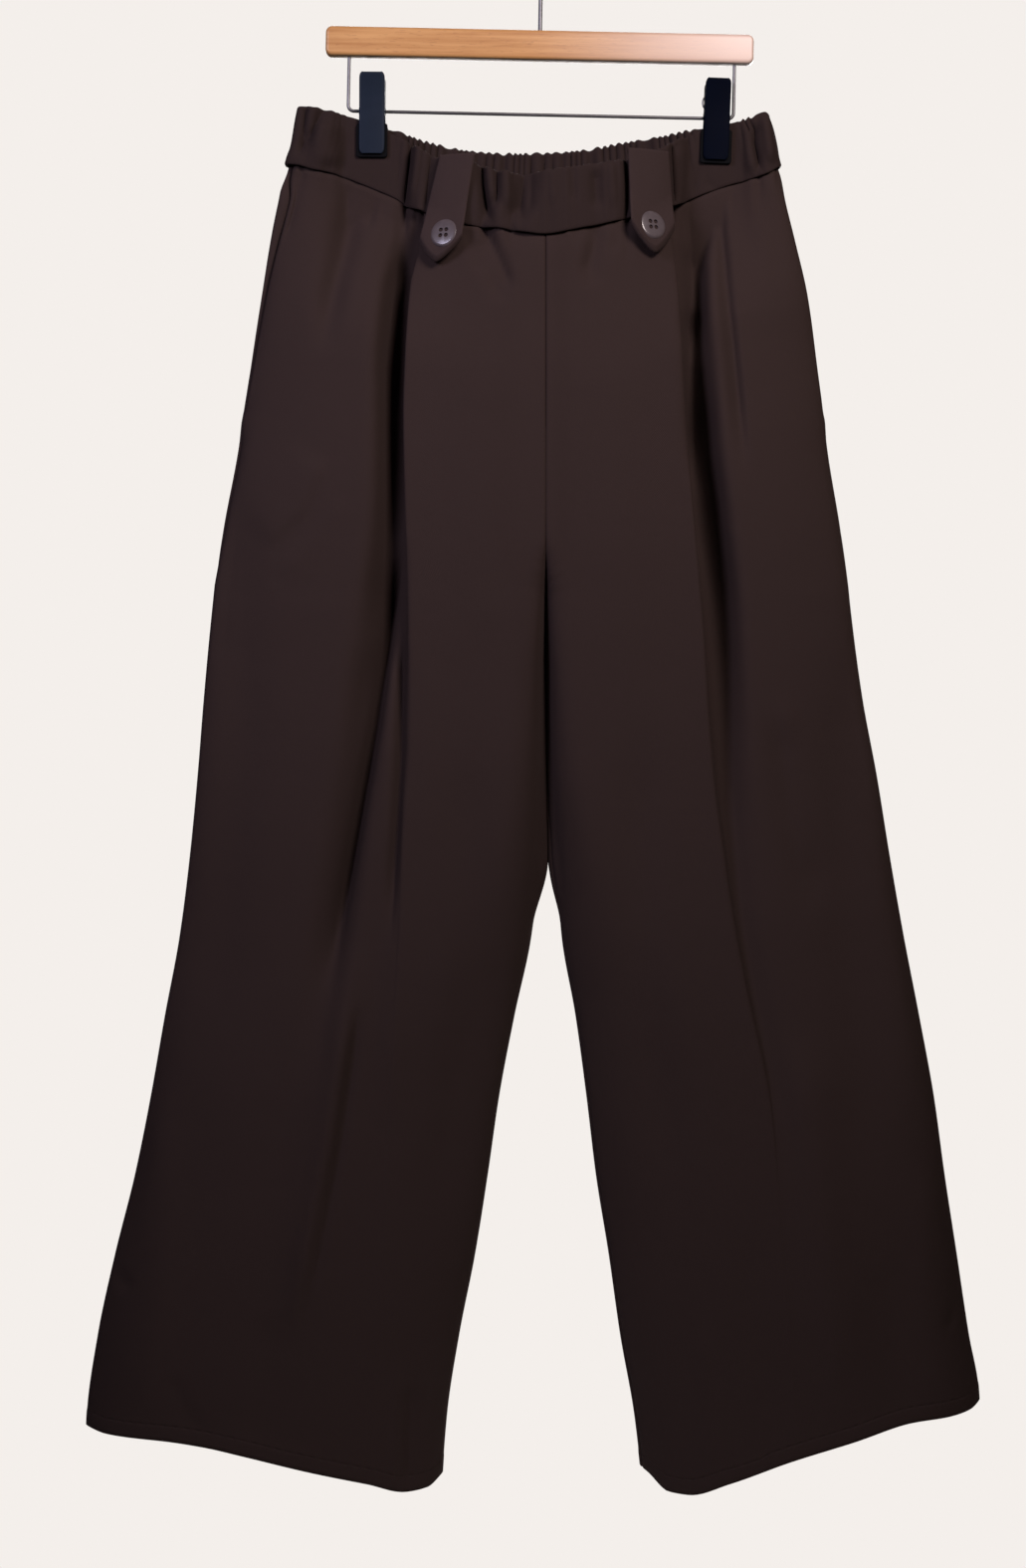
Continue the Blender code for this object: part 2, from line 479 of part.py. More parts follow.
def tube(name, points, radius, sides, finish):
    """A wire: a round bar along points (x, fwd, down)."""
    curve = bpy.data.curves.new(name, "CURVE")
    curve.dimensions = "3D"
    curve.bevel_depth = radius * MM
    curve.bevel_resolution = sides
    curve.use_fill_caps = True
    spline = curve.splines.new("POLY")
    spline.points.add(len(points) - 1)
    for p, (x, f, d) in zip(spline.points, points):
        p.co = (x * MM, -f * MM, -d * MM, 1)
    o = bpy.data.objects.new(name, curve)
    bpy.context.scene.collection.objects.link(o)
    o.data.materials.append(finish)
    return o


def tilted(x, down):
    """A place on the hanger, given as it would hang level."""
    return x * math.cos(TILT) - down * math.sin(TILT), down * math.cos(TILT) + x * math.sin(TILT)


FRONT_COLUMNS = np.linspace(0, 1, 49)
BACK_COLUMNS = np.linspace(0, 1, 39)


def with_short_ends(fractions, end):
    """The same even fractions with one short step at each end."""
    inner = fractions[1:-1]
    return np.concatenate([[0, end], inner, [1 - end, 1]])


# legs and waistband
leg_front_right = slab("leg_front_right", leg_panel(RIGHT, 1), CLOTH, cloth_finish("cloth_front_right"))
leg_front_left = slab("leg_front_left", leg_panel(LEFT, 1), CLOTH, cloth_finish("cloth_front_left"), flip=True)
leg_back_right = slab("leg_back_right", leg_panel(RIGHT, -1), CLOTH, cloth_finish("cloth_back_right"), flip=True)
leg_back_left = slab("leg_back_left", leg_panel(LEFT, -1), CLOTH, cloth_finish("cloth_back_left"))
BAND_ROWS = (0, 0.36, 0.7, 1)
slab("waistband_front", waistband(1, with_short_ends(FRONT_COLUMNS, 0.003), BAND_ROWS), BAND, cloth_finish("cloth_waistband_front"))
slab("waistband_back", waistband(-1, with_short_ends(BACK_COLUMNS, 0.003), BAND_ROWS), BAND, cloth_finish("cloth_waistband_back"), flip=True)


def band_front_fwd(x, down):
    return waist_fwd(x, np.clip(down, 150, 260), 1)


# tabs lie on the waistband, moved out from its points
def tab_grid(k, rows=7, columns=7):
    t = {name: TABS[name][k] for name in TABS}
    grid = []
    for r in np.linspace(0, 1, rows):
        line = []
        for j in np.linspace(-1, 1, columns):
            tip = t["low_down"] + (t["tip_down"] - t["low_down"]) * (1 - abs(j))
            down = t["top_down"] + (tip - t["top_down"]) * r
            share = (down - t["top_down"]) / (t["low_down"] - t["top_down"])
            middle = t["top_x"] + (t["low_x"] - t["top_x"]) * share
            half = t["top_half"] + (t["low_half"] - t["top_half"]) * min(share, 1.0)
            x = middle + half * j
            line.append((x, float(band_front_fwd(np.array(x), down)), down))
        grid.append(line)
    grid = np.array(grid)
    # the tab bridges the band's curve, standing on its furthest point at each height
    chord = grid[:, :1, 1] + (grid[:, -1:, 1] - grid[:, :1, 1]) * (grid[:, :, 0] - grid[:, :1, 0]) / (grid[:, -1:, 0] - grid[:, :1, 0])
    grid[:, :, 1] = 0.5 * (grid[:, :, 1] + chord) + np.max(grid[:, :, 1] - chord, axis=1, keepdims=True) * 0.5
    grid[:, :, 1] += BAND / 2 + SEAM + TAB / 2 + 1.9
    return grid


for k, side in enumerate(("right", "left")):
    slab(f"tab_{side}", tab_grid(k), TAB, cloth_finish(f"cloth_tab_{side}"))


# buttons: a turned disc with a rim and a dish, and four holes through it
def button(name, k, finish):
    grid = tab_grid(k, 15, 15)
    x, down = BUTTON_PLACES["x"][k], BUTTON_PLACES["down"][k]
    flat = grid.reshape(-1, 3)
    near = np.argsort(np.hypot(flat[:, 0] - x, flat[:, 2] - down))[:9]
    fwd = flat[near, 1].mean()
    slope = np.linalg.lstsq(np.c_[flat[near, 0] - x, flat[near, 2] - down, np.ones(len(near))], flat[near, 1], rcond=None)[0]
    normal = Vector((-slope[0], -1, slope[1])).normalized()
    profile = ((0, 0), (9.6, 0), (11.1, 0.7), (11.6, 1.9), (11.1, 3.1), (10.2, 3.6), (9.2, 3.3), (8.0, 2.5), (4.6, 2.0), (0, 1.9))
    mesh = bpy.data.meshes.new(name)
    bm = bmesh.new()
    ring = [bm.verts.new((r * MM, 0, h * MM)) for r, h in profile]
    edges = [bm.edges.new(pair) for pair in zip(ring, ring[1:])]
    bmesh.ops.spin(bm, geom=ring + edges, cent=(0, 0, 0), axis=(0, 0, 1), angle=math.tau, steps=32, use_merge=True)
    bmesh.ops.remove_doubles(bm, verts=bm.verts, dist=1e-6)
    bmesh.ops.recalc_face_normals(bm, faces=bm.faces)
    bm.to_mesh(mesh)
    bm.free()
    o = add(name, mesh, finish)
    o.rotation_mode = "QUATERNION"
    o.rotation_quaternion = normal.to_track_quat("Z", "X")
    o.location = Vector((x, -(fwd + TAB / 2 + SEAM + 0.35), -down)) * MM
    o.data.set_sharp_from_angle(angle=math.radians(50))
    for i, (a, b) in enumerate(((1, 1), (-1, 1), (-1, -1), (1, -1))):
        drill = bpy.data.meshes.new(f"{name}_hole_{i}")
        bm = bmesh.new()
        bmesh.ops.create_cone(bm, cap_ends=True, segments=10, radius1=BUTTON_HOLE * MM, radius2=BUTTON_HOLE * MM, depth=12 * MM,
                              matrix=Matrix.Translation((a * BUTTON_PITCH / 2 * MM, b * BUTTON_PITCH / 2 * MM, 0)))
        bm.to_mesh(drill)
        bm.free()
        cutter = bpy.data.objects.new(drill.name, drill)
        bpy.context.scene.collection.objects.link(cutter)
        cutter.parent = o
        cutter.hide_render = True
        cutter.display_type = "WIRE"
        hole = o.modifiers.new(f"hole_{i}", "BOOLEAN")
        hole.operation = "DIFFERENCE"
        hole.solver = "EXACT"
        hole.object = cutter
    return o


for k, side in enumerate(("right", "left")):
    button(f"button_{side}", k, material(f"button_finish_{side}", (0.045, 0.026, 0.028), 0.28))


# pocket bags hang inside the front panels from the pocket mouths in the side seams
def pocket_grid(leg, k, rows=8, columns=6):
    grid = []
    for r in np.linspace(0, 1, rows):
        down = POCKETS["top_down"][k] + (POCKETS["low_down"][k] - POCKETS["top_down"][k]) * r
        wide = ease(min(1.0, r * 1.6))
        inner = POCKETS["inner_top"][k] + (POCKETS["inner_low"][k] - POCKETS["inner_top"][k]) * wide
        line = half_ring(leg, down, 1)
        out = leg["out"]
        last = out * read(leg["side"], "x", down) - 6.0
        first = out * inner
        if r > 0.7:
            round_off = 1 - math.sqrt(1 - ((r - 0.7) / 0.3) ** 2 * 0.9)
            first += 26 * round_off
            last -= 30 * round_off
        across = np.linspace(first, last, columns)
        order = np.argsort(out * line[:, 0])
        fwd = np.interp(across, (out * line[:, 0])[order], line[order, 1])
        behind = CLOTH / 2 + SEAM + BAG / 2 + 6.4
        grid.append([(out * a, f - behind - 0.5 * max(0.0, 10 - f), down) for a, f in zip(across, fwd)])
    return np.array(grid)


slab("pocket_bag_right", pocket_grid(RIGHT, 0), BAG, material("pocketing_right", (0.035, 0.024, 0.022), 0.9))
slab("pocket_bag_left", pocket_grid(LEFT, 1), BAG, material("pocketing_left", (0.035, 0.024, 0.022), 0.9), flip=True)

# ---------------------------------------------------------------- hanger

wood = material("beech", (0.62, 0.34, 0.14), 0.45)
steel = material("hook_steel", (0.55, 0.55, 0.56), 0.28, 1.0)


def bar():
    mesh = bpy.data.meshes.new("hanger_bar")
    bm = bmesh.new()
    bmesh.ops.create_cube(bm, size=1.0)
    bmesh.ops.scale(bm, vec=(BAR_LONG * MM, BAR_DEEP * MM, BAR_TALL * MM), verts=bm.verts)
    upright = [e for e in bm.edges if abs(e.verts[0].co.y - e.verts[1].co.y) > 0.001]
    bmesh.ops.bevel(bm, geom=upright, offset=5 * MM, segments=5, profile=0.5, affect="EDGES")
    rim = [e for e in bm.edges if len(e.link_faces) == 2 and e.calc_face_angle() > math.radians(60)]
    bmesh.ops.bevel(bm, geom=rim, offset=2.4 * MM, segments=3, profile=0.5, affect="EDGES")
    bm.to_mesh(mesh)
    bm.free()
    o = add("hanger_bar", mesh, wood)
    x, down = tilted(0, BAR_TOP + BAR_TALL / 2)
    o.location = (x * MM, 0, -down * MM)
    o.rotation_euler = (0, TILT, 0)
    o.data.set_sharp_from_angle(angle=math.radians(40))
    return o


def arc(cx, cy, r, a0, a1, steps):
    return [(cx + r * math.cos(math.radians(a)), cy - r * math.sin(math.radians(a))) for a in np.linspace(a0, a1, steps)]


def wire_path():
    b = WIRE_BEND
    low = BAR_TOP + BAR_TALL + SEAM
    return (
        [(WIRE_FROM, low)] + arc(WIRE_FROM + b, WIRE_DOWN - b, b, 180, 270, 7)
        + arc(WIRE_TO - b, WIRE_DOWN - b, b, 270, 360, 7) + [(WIRE_TO, low)]
    )


def hook_path():
    """Up from the bar, out to the wearer's left, over the crown at the origin, down to the open tip."""
    r = CROOK_R + HOOK_R
    centre_down = CROOK_R
    crook = arc(0, centre_down, r, -62, 205, 25)
    x0, d0 = crook[0]
    stem_top = d0 + 2 * HOOK_BEND
    t = np.linspace(0, 1, 8)[1:]
    start, leave = np.array([x0, d0]), np.array([-math.sin(math.radians(62)), math.cos(math.radians(62))])
    p = [start, start + leave * 9, np.array([0, stem_top - 7]), np.array([0, stem_top])]
    neck = [tuple((1 - s) ** 3 * p[0] + 3 * s * (1 - s) ** 2 * p[1] + 3 * s * s * (1 - s) * p[2] + s**3 * p[3]) for s in t]
    return [(0, BAR_TOP - SEAM)] + neck[::-1] + crook


tube("hanger_wire", [(*((q := tilted(x, d))[:1]), 0, q[1]) for x, d in wire_path()], WIRE_R, 2, material("frame_steel", (0.5, 0.5, 0.52), 0.3, 1.0))
tube("hanger_hook", [(*((q := tilted(x, d))[:1]), 0, q[1]) for x, d in hook_path()], HOOK_R, 2, steel)
bar()

JAW = table(
    "along fwd half",
    (-28.5, 11.4, 7.2), (-27.3, 11.1, 8.6), (-25, 10.5, 9.4), (-17, 8.2, 9.5), (-8, 5.9, 9.5), (0, 5.6, 9.5),
    (7, 6.6, 9.5), (10, 8.1, 9.5), (24, 8.2, 9.5), (31, 8.2, 9.3), (33.6, 8.2, 8.2), (34.5, 8.2, 7.0),
)


def clip_frame(k):
    lean = math.radians(CLIPS["lean"][k])

    def place(x, fwd, along):
        return CLIPS["x"][k] + x * math.cos(lean) - along * math.sin(lean), fwd, CLIPS["down"][k] + along * math.cos(lean) + x * math.sin(lean)

    return place


def clip(k, side):
    place = clip_frame(k)
    plate = material(f"clip_plate_{side}", (0.022, 0.024, 0.034), 0.38)
    rubber = material(f"clip_rubber_{side}", (0.012, 0.012, 0.013), 0.6)
    for face, label in ((1, "front"), (-1, "back")):
        rows = []
        for along, fwd, half in zip(JAW["along"], JAW["fwd"], JAW["half"]):
            rows.append([place(half * j, face * (fwd - 0.5 * j * j * (abs(along) < 30)), along) for j in (-1, -0.5, 0, 0.5, 1)])
        slab(f"clip_{side}_{label}_jaw", rows, JAW_THICK, plate, flip=face < 0)
        mesh = bpy.data.meshes.new(f"clip_{side}_{label}_pad")
        bm = bmesh.new()
        bmesh.ops.create_cube(bm, size=1.0)
        bmesh.ops.scale(bm, vec=(PAD_WIDE * MM, PAD_THICK * MM, (PAD_TO - PAD_FROM) * MM), verts=bm.verts)
        across = [e for e in bm.edges if abs(e.verts[0].co.y - e.verts[1].co.y) > 0.001]
        bmesh.ops.bevel(bm, geom=across, offset=2.2 * MM, segments=3, profile=0.5, affect="EDGES")
        bm.to_mesh(mesh)
        bm.free()
        pad = add(mesh.name, mesh, rubber)
        x, _, down = place(0, 0, (PAD_TO + PAD_FROM) / 2)
        pad.location = (x * MM, -face * PAD_FWD * MM, -down * MM)
        pad.rotation_euler = (0, math.radians(CLIPS["lean"][k]), 0)
    mesh = bpy.data.meshes.new(f"clip_{side}_pivot")
    bm = bmesh.new()
    rings = []
    for r, x in ((BARREL_BORE, -0.5), (BARREL_R, -0.5), (BARREL_R, 0.5), (BARREL_BORE, 0.5)):
        rings.append([bm.verts.new((x * CLIPS["barrel"][k] * MM, r * MM * math.cos(a), r * MM * math.sin(a))) for a in np.linspace(0, math.tau, 21)[:-1]])
    for a, b in zip(rings, rings[1:] + rings[:1]):
        for i in range(20):
            bm.faces.new((a[i], a[(i + 1) % 20], b[(i + 1) % 20], b[i]))
    bmesh.ops.recalc_face_normals(bm, faces=bm.faces)
    bm.to_mesh(mesh)
    bm.free()
    pivot = add(mesh.name, mesh, material(f"clip_spring_{side}", (0.4, 0.4, 0.42), 0.35, 1.0))
    pivot.data.set_sharp_from_angle(angle=math.radians(40))
    wire_at = tilted(CLIPS["x"][k] + CLIPS["down"][k] * math.sin(TILT), WIRE_DOWN)
    pivot.location = (wire_at[0] * MM, 0, -wire_at[1] * MM)
    pivot.rotation_euler = (0, TILT, 0)


clip(0, "right")
clip(1, "left")
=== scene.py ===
"""Looks of the wide-leg trousers on their clip hanger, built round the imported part.

The tables are in millimetres: x runs to the wearer's left, down is measured below the hook's crown, and fwd is measured
towards the front, which faces -Y.
"""

import math

import bmesh
import bpy
import numpy as np
from mathutils import Matrix, Vector

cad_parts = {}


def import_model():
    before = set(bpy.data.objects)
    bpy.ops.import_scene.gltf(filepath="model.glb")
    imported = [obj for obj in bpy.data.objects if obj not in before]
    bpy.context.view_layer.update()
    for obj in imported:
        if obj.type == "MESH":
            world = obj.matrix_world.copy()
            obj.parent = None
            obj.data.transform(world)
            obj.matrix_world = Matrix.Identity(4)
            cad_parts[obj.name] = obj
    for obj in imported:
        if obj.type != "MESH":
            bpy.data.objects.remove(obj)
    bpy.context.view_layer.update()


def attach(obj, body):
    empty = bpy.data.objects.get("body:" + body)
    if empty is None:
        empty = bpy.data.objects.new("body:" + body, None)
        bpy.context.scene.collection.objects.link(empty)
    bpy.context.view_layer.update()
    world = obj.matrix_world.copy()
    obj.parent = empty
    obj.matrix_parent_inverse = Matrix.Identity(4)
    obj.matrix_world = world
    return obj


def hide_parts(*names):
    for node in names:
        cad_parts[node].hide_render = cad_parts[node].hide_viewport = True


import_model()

MM = 0.001

# ---------------------------------------------------------------- sizes

CLOTH = 1.2  # wall of the leg panels
BAND = 3.0  # wall of the gathered elastic waistband, which is folded over its elastic
TAB = 2.4  # folded and stitched tab
BAG = 1.6  # pocket bag, two thin layers lying together
SEAM = 0.3  # gap between two pieces where they are sewn
CENTRE_X = 2.3  # centre front and centre back seam
CROTCH = 529.6  # where the four leg panels meet
J_FRONT = 478.0  # the front seam starts to curve under
J_BACK = 430.0  # the back seam starts to curve under
FLAT = 2.6  # the cloth turns the side seams with a short flat this far from the side plane
RELEASE = 125.0  # how far below the waist seam the pinch of the clips still shows
SIDE_ROUND = 1.12  # how sharply the panels fall to the side seam, 1 is an ellipse

TILT = math.radians(1.2)  # the hanger hangs a little lower at the wearer's left
BAR_LONG, BAR_TALL, BAR_DEEP, BAR_TOP = 335.0, 22.8, 12.0, 86.5
WIRE_R, WIRE_FROM, WIRE_TO, WIRE_DOWN, WIRE_BEND = 1.3, -149.0, 152.9, 151.8, 4.5
HOOK_R, CROOK_R, HOOK_BEND = 1.6, 20.0, 9.0
JAW_WIDE, JAW_THICK, JAW_UP, JAW_LOW = 19.0, 1.8, 28.5, 34.5
PAD_WIDE, PAD_THICK, PAD_FROM, PAD_TO, PAD_FWD = 24.4, 2.6, 10.5, 37.2, 5.2
BARREL_R, BARREL_BORE = 3.5, 1.7
BUTTON_R, BUTTON_THICK, BUTTON_RIM, BUTTON_HOLE, BUTTON_PITCH = 11.6, 3.6, 2.0, 1.15, 4.6


def table(columns, *rows):
    return {name: np.array([row[i] for row in rows], float) for i, name in enumerate(columns.split())}


# The leg's outline seen from the front, from the waist to the hem.
SIDE_RIGHT = table(
    "down x",
    (145, -190), (155, -192), (178, -196), (186, -199), (218, -207), (249, -213), (296, -221.5), (358, -231),
    (420, -240.5), (483, -252), (545, -259), (608, -265), (670, -270), (732, -276), (795, -284), (857, -295.5),
    (920, -306.5), (982, -319), (1044, -334.5), (1107, -348), (1169, -356.5), (1200, -357.5), (1250, -358),
)
SIDE_LEFT = table(
    "down x",
    (145, 175.5), (155, 176.5), (166, 180), (178, 182.7), (186, 184), (202, 189), (218, 192), (249, 199.5),
    (296, 210), (358, 217.5), (420, 225.5), (483, 235.5), (545, 242), (608, 250.5), (670, 262), (732, 272),
    (795, 283), (857, 295), (920, 306.5), (982, 315), (1044, 324.5), (1107, 334), (1148, 341.5), (1169, 342.5),
    (1200, 342.5), (1250, 342.5),
)
# The inner edge: the centre seam above the crotch, the inside of the leg below it. corner is how far the leg takes to
# round from its inner edge to the crown of its front, and to the crown of its back.
INNER_RIGHT = table(
    "down x corner corner_back",
    (145, 2.1, 1, 1), (470, 2.1, 4, 8), (500, 2.1, 7, 18), (530, 2.1, 11, 32), (560, 2.1, 20, 46), (608, 1.7, 38, 66),
    (670, 0.7, 62, 88), (732, -0.9, 86, 105), (795, -7.8, 104, 118), (857, -21, 112, 124), (920, -33, 120, 130),
    (982, -42, 126, 134), (1044, -52, 132, 138), (1107, -64.5, 136, 142), (1169, -74, 138, 144), (1250, -80, 138, 144),
)
INNER_LEFT = table(
    "down x corner corner_back",
    (145, 2.5, 1, 1), (470, 2.5, 4, 8), (500, 2.5, 7, 18), (530, 2.5, 11, 32), (560, 2.6, 20, 46), (608, 3.2, 38, 66),
    (670, 5.2, 62, 88), (732, 9.6, 86, 105), (795, 14.2, 104, 118), (857, 25, 112, 124), (920, 33.5, 120, 130),
    (982, 41, 126, 134), (1044, 51, 132, 138), (1107, 60, 136, 142), (1169, 71, 138, 144), (1250, 80, 138, 144),
)
# How far the front and the back stand from the middle plane.
BODY = table(
    "down front back",
    (145, 38, 28), (250, 38, 30), (300, 41, 34), (358, 43, 38), (420, 43, 41), (483, 41, 41), (530, 38, 38),
    (608, 36, 34), (670, 36, 33), (795, 38, 34), (920, 40, 36), (1044, 43, 39), (1169, 46, 43), (1250, 47, 44),
)
# The waistband: its upper and lower edge, and how far it stands forward of the side plane. It is pinched flat where
# the two clips hold it, and bows out between them.
WAIST_FRONT = table(
    "x top bottom fwd",
    (-205, 144, 191, 11), (-190, 146, 193.5, 12), (-178, 148, 197.2, 12), (-165, 150.2, 199, 8), (-155, 152.5, 201.5, 2),
    (-148, 154.5, 204, 1.9), (-133, 160, 210, 1.9), (-113, 169.5, 219, 1.9), (-103, 175.5, 226.5, 10), (-92, 184, 231, 18), (-79, 190.2, 237, 24),
    (-56, 194.0, 244.2, 30.5), (-35, 201.9, 247.2, 35), (-16, 204.6, 250.5, 37.4), (0, 203.3, 252.3, 38),
    (33, 198.5, 246.6, 36.5), (60, 193.5, 240.2, 32), (83, 186.9, 232.4, 25), (103, 175, 225, 12),
    (115, 168, 219, 1.9), (137, 160.5, 210.4, 1.9), (151, 158, 206, 1.9), (156, 156.5, 205, 2), (166, 154, 202.4, 8), (176, 151.5, 199.4, 11),
    (190, 149, 190.5, 11), (205, 147, 187, 10),
)
WAIST_BACK = table(
    "x top bottom fwd",
    (-205, 144, 191, 10), (-190, 146, 193.5, 11), (-178, 148, 196.5, 11), (-165, 150.2, 198.5, 7), (-155, 152.5, 200.5, 2),
    (-148, 154.5, 202, 1.9), (-133, 160, 207, 1.9), (-113, 164.6, 213, 1.9), (-103, 166.8, 215.5, 9), (-90, 169.3, 218, 18), (-58, 174.1, 222, 26),
    (-27, 175.8, 224, 29), (4, 175, 224, 30), (35, 172.9, 222, 28), (66, 168.2, 217, 23), (97, 165.2, 214, 13),
    (107, 164.5, 212.5, 6), (115, 163.5, 211, 1.9), (137, 160.5, 207, 1.9), (151, 158, 204, 1.9), (156, 156.5, 203.4, 2), (166, 154, 201.4, 7),
    (176, 151, 199, 10), (190, 149, 190.5, 10), (205, 147, 187, 9),
)
# The hem, lower at the inside of each leg because the legs splay.
HEM_RIGHT = table(
    "x down",
    (-370, 1174), (-355, 1177), (-339, 1180), (-292, 1182), (-261, 1185.5), (-230, 1192), (-183, 1203.6), (-136, 1215),
    (-105, 1223.5), (-90, 1222), (-80, 1215), (-70, 1208),
)
HEM_LEFT = table(
    "x down",
    (66, 1203), (82, 1211), (98, 1224), (113, 1225), (144, 1214.5), (191, 1196), (238, 1181.5), (285, 1168),
    (316, 1165), (332, 1162), (345, 1155), (360, 1150),
)
# The side seam lies a little in front of the right edge; the inseam is a little behind the edge on the right leg and
# a little in front of it on the left leg.
SHIFT_RIGHT = table("down side inner", (145, 0, 0), (196, 1, 0), (221, 9, 0), (258, 6, 0), (300, 3.5, 0), (540, 3, 0), (620, 2, -6), (760, 2, -10), (1250, 3, -10))
SHIFT_LEFT = table("down side inner", (145, 0, 0), (540, 0, 0), (620, 0, 4), (760, 0, 8), (1250, 0, 8))
# One knife pleat in each front panel. Its fold points to the side seam at x; under is how far the cloth goes back
# behind it, gap the space between its layers, sunk how much deeper the cloth lies beside the fold and mouth how wide
# that hollow is. open goes from 0, folded, to 1, a soft step of that height.
PLEAT_RIGHT = table(
    "down x under gap sunk mouth open step",
    (190, -92, 13, 2.9, 0.5, 6, 0.0, 6), (237, -94, 13, 3.0, 1.5, 8, 0.0, 7), (257, -96.7, 13, 3.1, 3.0, 10, 0.0, 9),
    (289, -104, 13, 3.2, 4.5, 11, 0.0, 11), (345, -107.6, 12, 3.3, 5.0, 12, 0.0, 12), (389, -109, 11, 3.4, 5.0, 12.5, 0.0, 12),
    (452, -108, 8, 3.5, 5.0, 14.5, 0.1, 12), (514, -106.5, 5, 3.5, 4.5, 18, 0.35, 11), (560, -106, 3, 3.4, 3.0, 20, 0.7, 9),
    (600, -107, 2, 3.2, 2.0, 20, 0.95, 6), (660, -109, 2, 3.0, 1.0, 18, 1.0, 2.2), (760, -110, 2, 3.0, 0.0, 16, 1.0, 1.2),
    (900, -116, 2, 3.0, 0.0, 16, 1.0, 0.4), (1250, -135, 2, 3.0, 0.0, 16, 1.0, 0.0),
)
PLEAT_LEFT = table(
    "down x under gap sunk mouth open step",
    (190, 103, 13, 2.9, 0.5, 6, 0.0, 6), (249, 105, 13, 3.0, 1.5, 10, 0.0, 8), (268, 107.6, 13, 3.1, 3.0, 12, 0.0, 10),
    (320, 111.5, 13, 3.3, 5.0, 15, 0.0, 12), (358, 113, 12, 3.4, 5.5, 17, 0.0, 13), (410, 116, 11, 3.5, 6.0, 19, 0.0, 14),
    (475, 121.7, 10, 3.6, 6.5, 21, 0.0, 15), (515, 125.6, 9, 3.6, 6.5, 21, 0.1, 15), (567, 130, 7, 3.6, 6.0, 19.5, 0.2, 14),
    (619, 133, 5, 3.5, 5.0, 17.5, 0.35, 12), (680, 137, 3, 3.3, 3.5, 14, 0.6, 9), (729, 142.7, 2, 3.2, 2.0, 12, 0.85, 6.5),
    (786, 149.8, 2, 3.0, 1.0, 11, 1.0, 4.5), (850, 160.7, 2, 3.0, 0.5, 11, 1.0, 3.5), (905, 171.6, 2, 3.0, 0.0, 11, 1.0, 2.4),
    (945, 177, 2, 3.0, 0.0, 12, 1.0, 1.2), (1000, 181, 2, 3.0, 0.0, 14, 1.0, 0.3), (1250, 200, 2, 3.0, 0.0, 16, 1.0, 0.0),
)
# The largest creases of the legs: a path through three places, how wide each flank is, towards the wearer's right and
# left, and how far it rises (or sinks, below 0).
CREASES = table(
    "x0 down0 x1 down1 x2 down2 wide_right wide_left rise",
    (-131, 560, -139, 660, -172, 860, 13, 10, -5.0),
    (-147, 790, -166, 950, -192, 1120, 20, 14, 4.5),
    (-112, 640, -113, 800, -120, 960, 9, 12, 2.0),
    (-240, 420, -232, 640, -262, 900, 26, 20, -3.5),
    (-60, 640, -52, 830, -92, 1060, 18, 22, -3.0),
    (-300, 900, -296, 1050, -318, 1190, 22, 18, 3.0),
    (182, 620, 196, 700, 214, 780, 14, 12, -3.0),
    (76, 620, 74, 800, 108, 1040, 20, 18, -3.0),
    (236, 560, 232, 760, 262, 1010, 22, 24, -3.5),
    (196, 860, 214, 1010, 232, 1180, 16, 22, 4.0),
    (296, 960, 300, 1080, 318, 1190, 16, 18, 2.5),
    (-48, 250, -40, 275, -30, 310, 6, 8, -3.0),
    (45, 245, 40, 268, 36, 296, 7, 9, -2.5),
    (-142, 215, -154, 260, -172, 320, 12, 12, -3.0),
)
CREASES_BACK = table(
    "x0 down0 x1 down1 x2 down2 wide_right wide_left rise",
    (-120, 560, -132, 780, -178, 1150, 18, 18, 5.0),
    (128, 560, 142, 780, 196, 1150, 18, 18, 5.0),
    (-200, 380, -212, 620, -262, 980, 24, 20, -3.0),
    (205, 360, 208, 640, 258, 1000, 20, 26, -3.5),
    (-62, 620, -58, 820, -98, 1090, 16, 20, -3.0),
    (70, 600, 66, 800, 104, 1060, 18, 18, -3.0),
    (-70, 260, -66, 340, -52, 450, 12, 14, -2.5),
    (78, 250, 70, 330, 58, 430, 14, 12, -2.5),
)
# Gathers of the waistband, seen from the front: where each runs and how deep it is.
GATHERS = table(
    "x top_x wide rise",
    (-176, -172, 4.0, 1.0), (-108, -103, 4.0, -3.0), (-97, -95, 4.5, 1.6), (-47, -42, 5.0, -4.5), (-33, -36, 4.0, 2.0),
    (-24, -26, 3.6, -2.2), (-10, -9, 7.0, 1.0), (18, 16, 8.0, 1.2), (42, 40, 6.0, -1.6), (64, 66, 3.6, -4.0),
    (98, 97, 4.0, 1.8), (112, 115, 4.0, -2.0), (168, 164, 5.0, -1.2),
)
# The two pointed tabs: the middle and half width of the upper end, of the shoulders and the place of the tip.
TABS = table(
    "side top_x top_down top_half low_x low_down low_half tip_x tip_down",
    (-1, -66, 190.5, 13.6, -78.5, 251.5, 16.4, -83, 268.5),
    (1, 81.5, 186.5, 16.0, 85.0, 240.5, 17.2, 85.6, 261.5),
)
BUTTON_PLACES = table("side x down", (-1, -76.8, 247.5), (1, 85.3, 241.0))
POCKETS = table(
    "side top_down low_down inner_top inner_low",
    (-1, 268, 497, -168, -129), (1, 268, 480, 176, 150),
)
CLIPS = table("side x down lean barrel", (-1, -133.2, 149.0, 0.3, 23.0), (1, 136.6, 153.8, 2.1, 16.4))

RIGHT = {"out": -1, "side": SIDE_RIGHT, "inner": INNER_RIGHT, "hem": HEM_RIGHT, "shift": SHIFT_RIGHT, "pleat": PLEAT_RIGHT}
LEFT = {"out": 1, "side": SIDE_LEFT, "inner": INNER_LEFT, "hem": HEM_LEFT, "shift": SHIFT_LEFT, "pleat": PLEAT_LEFT}

# ---------------------------------------------------------------- forms of the cloth


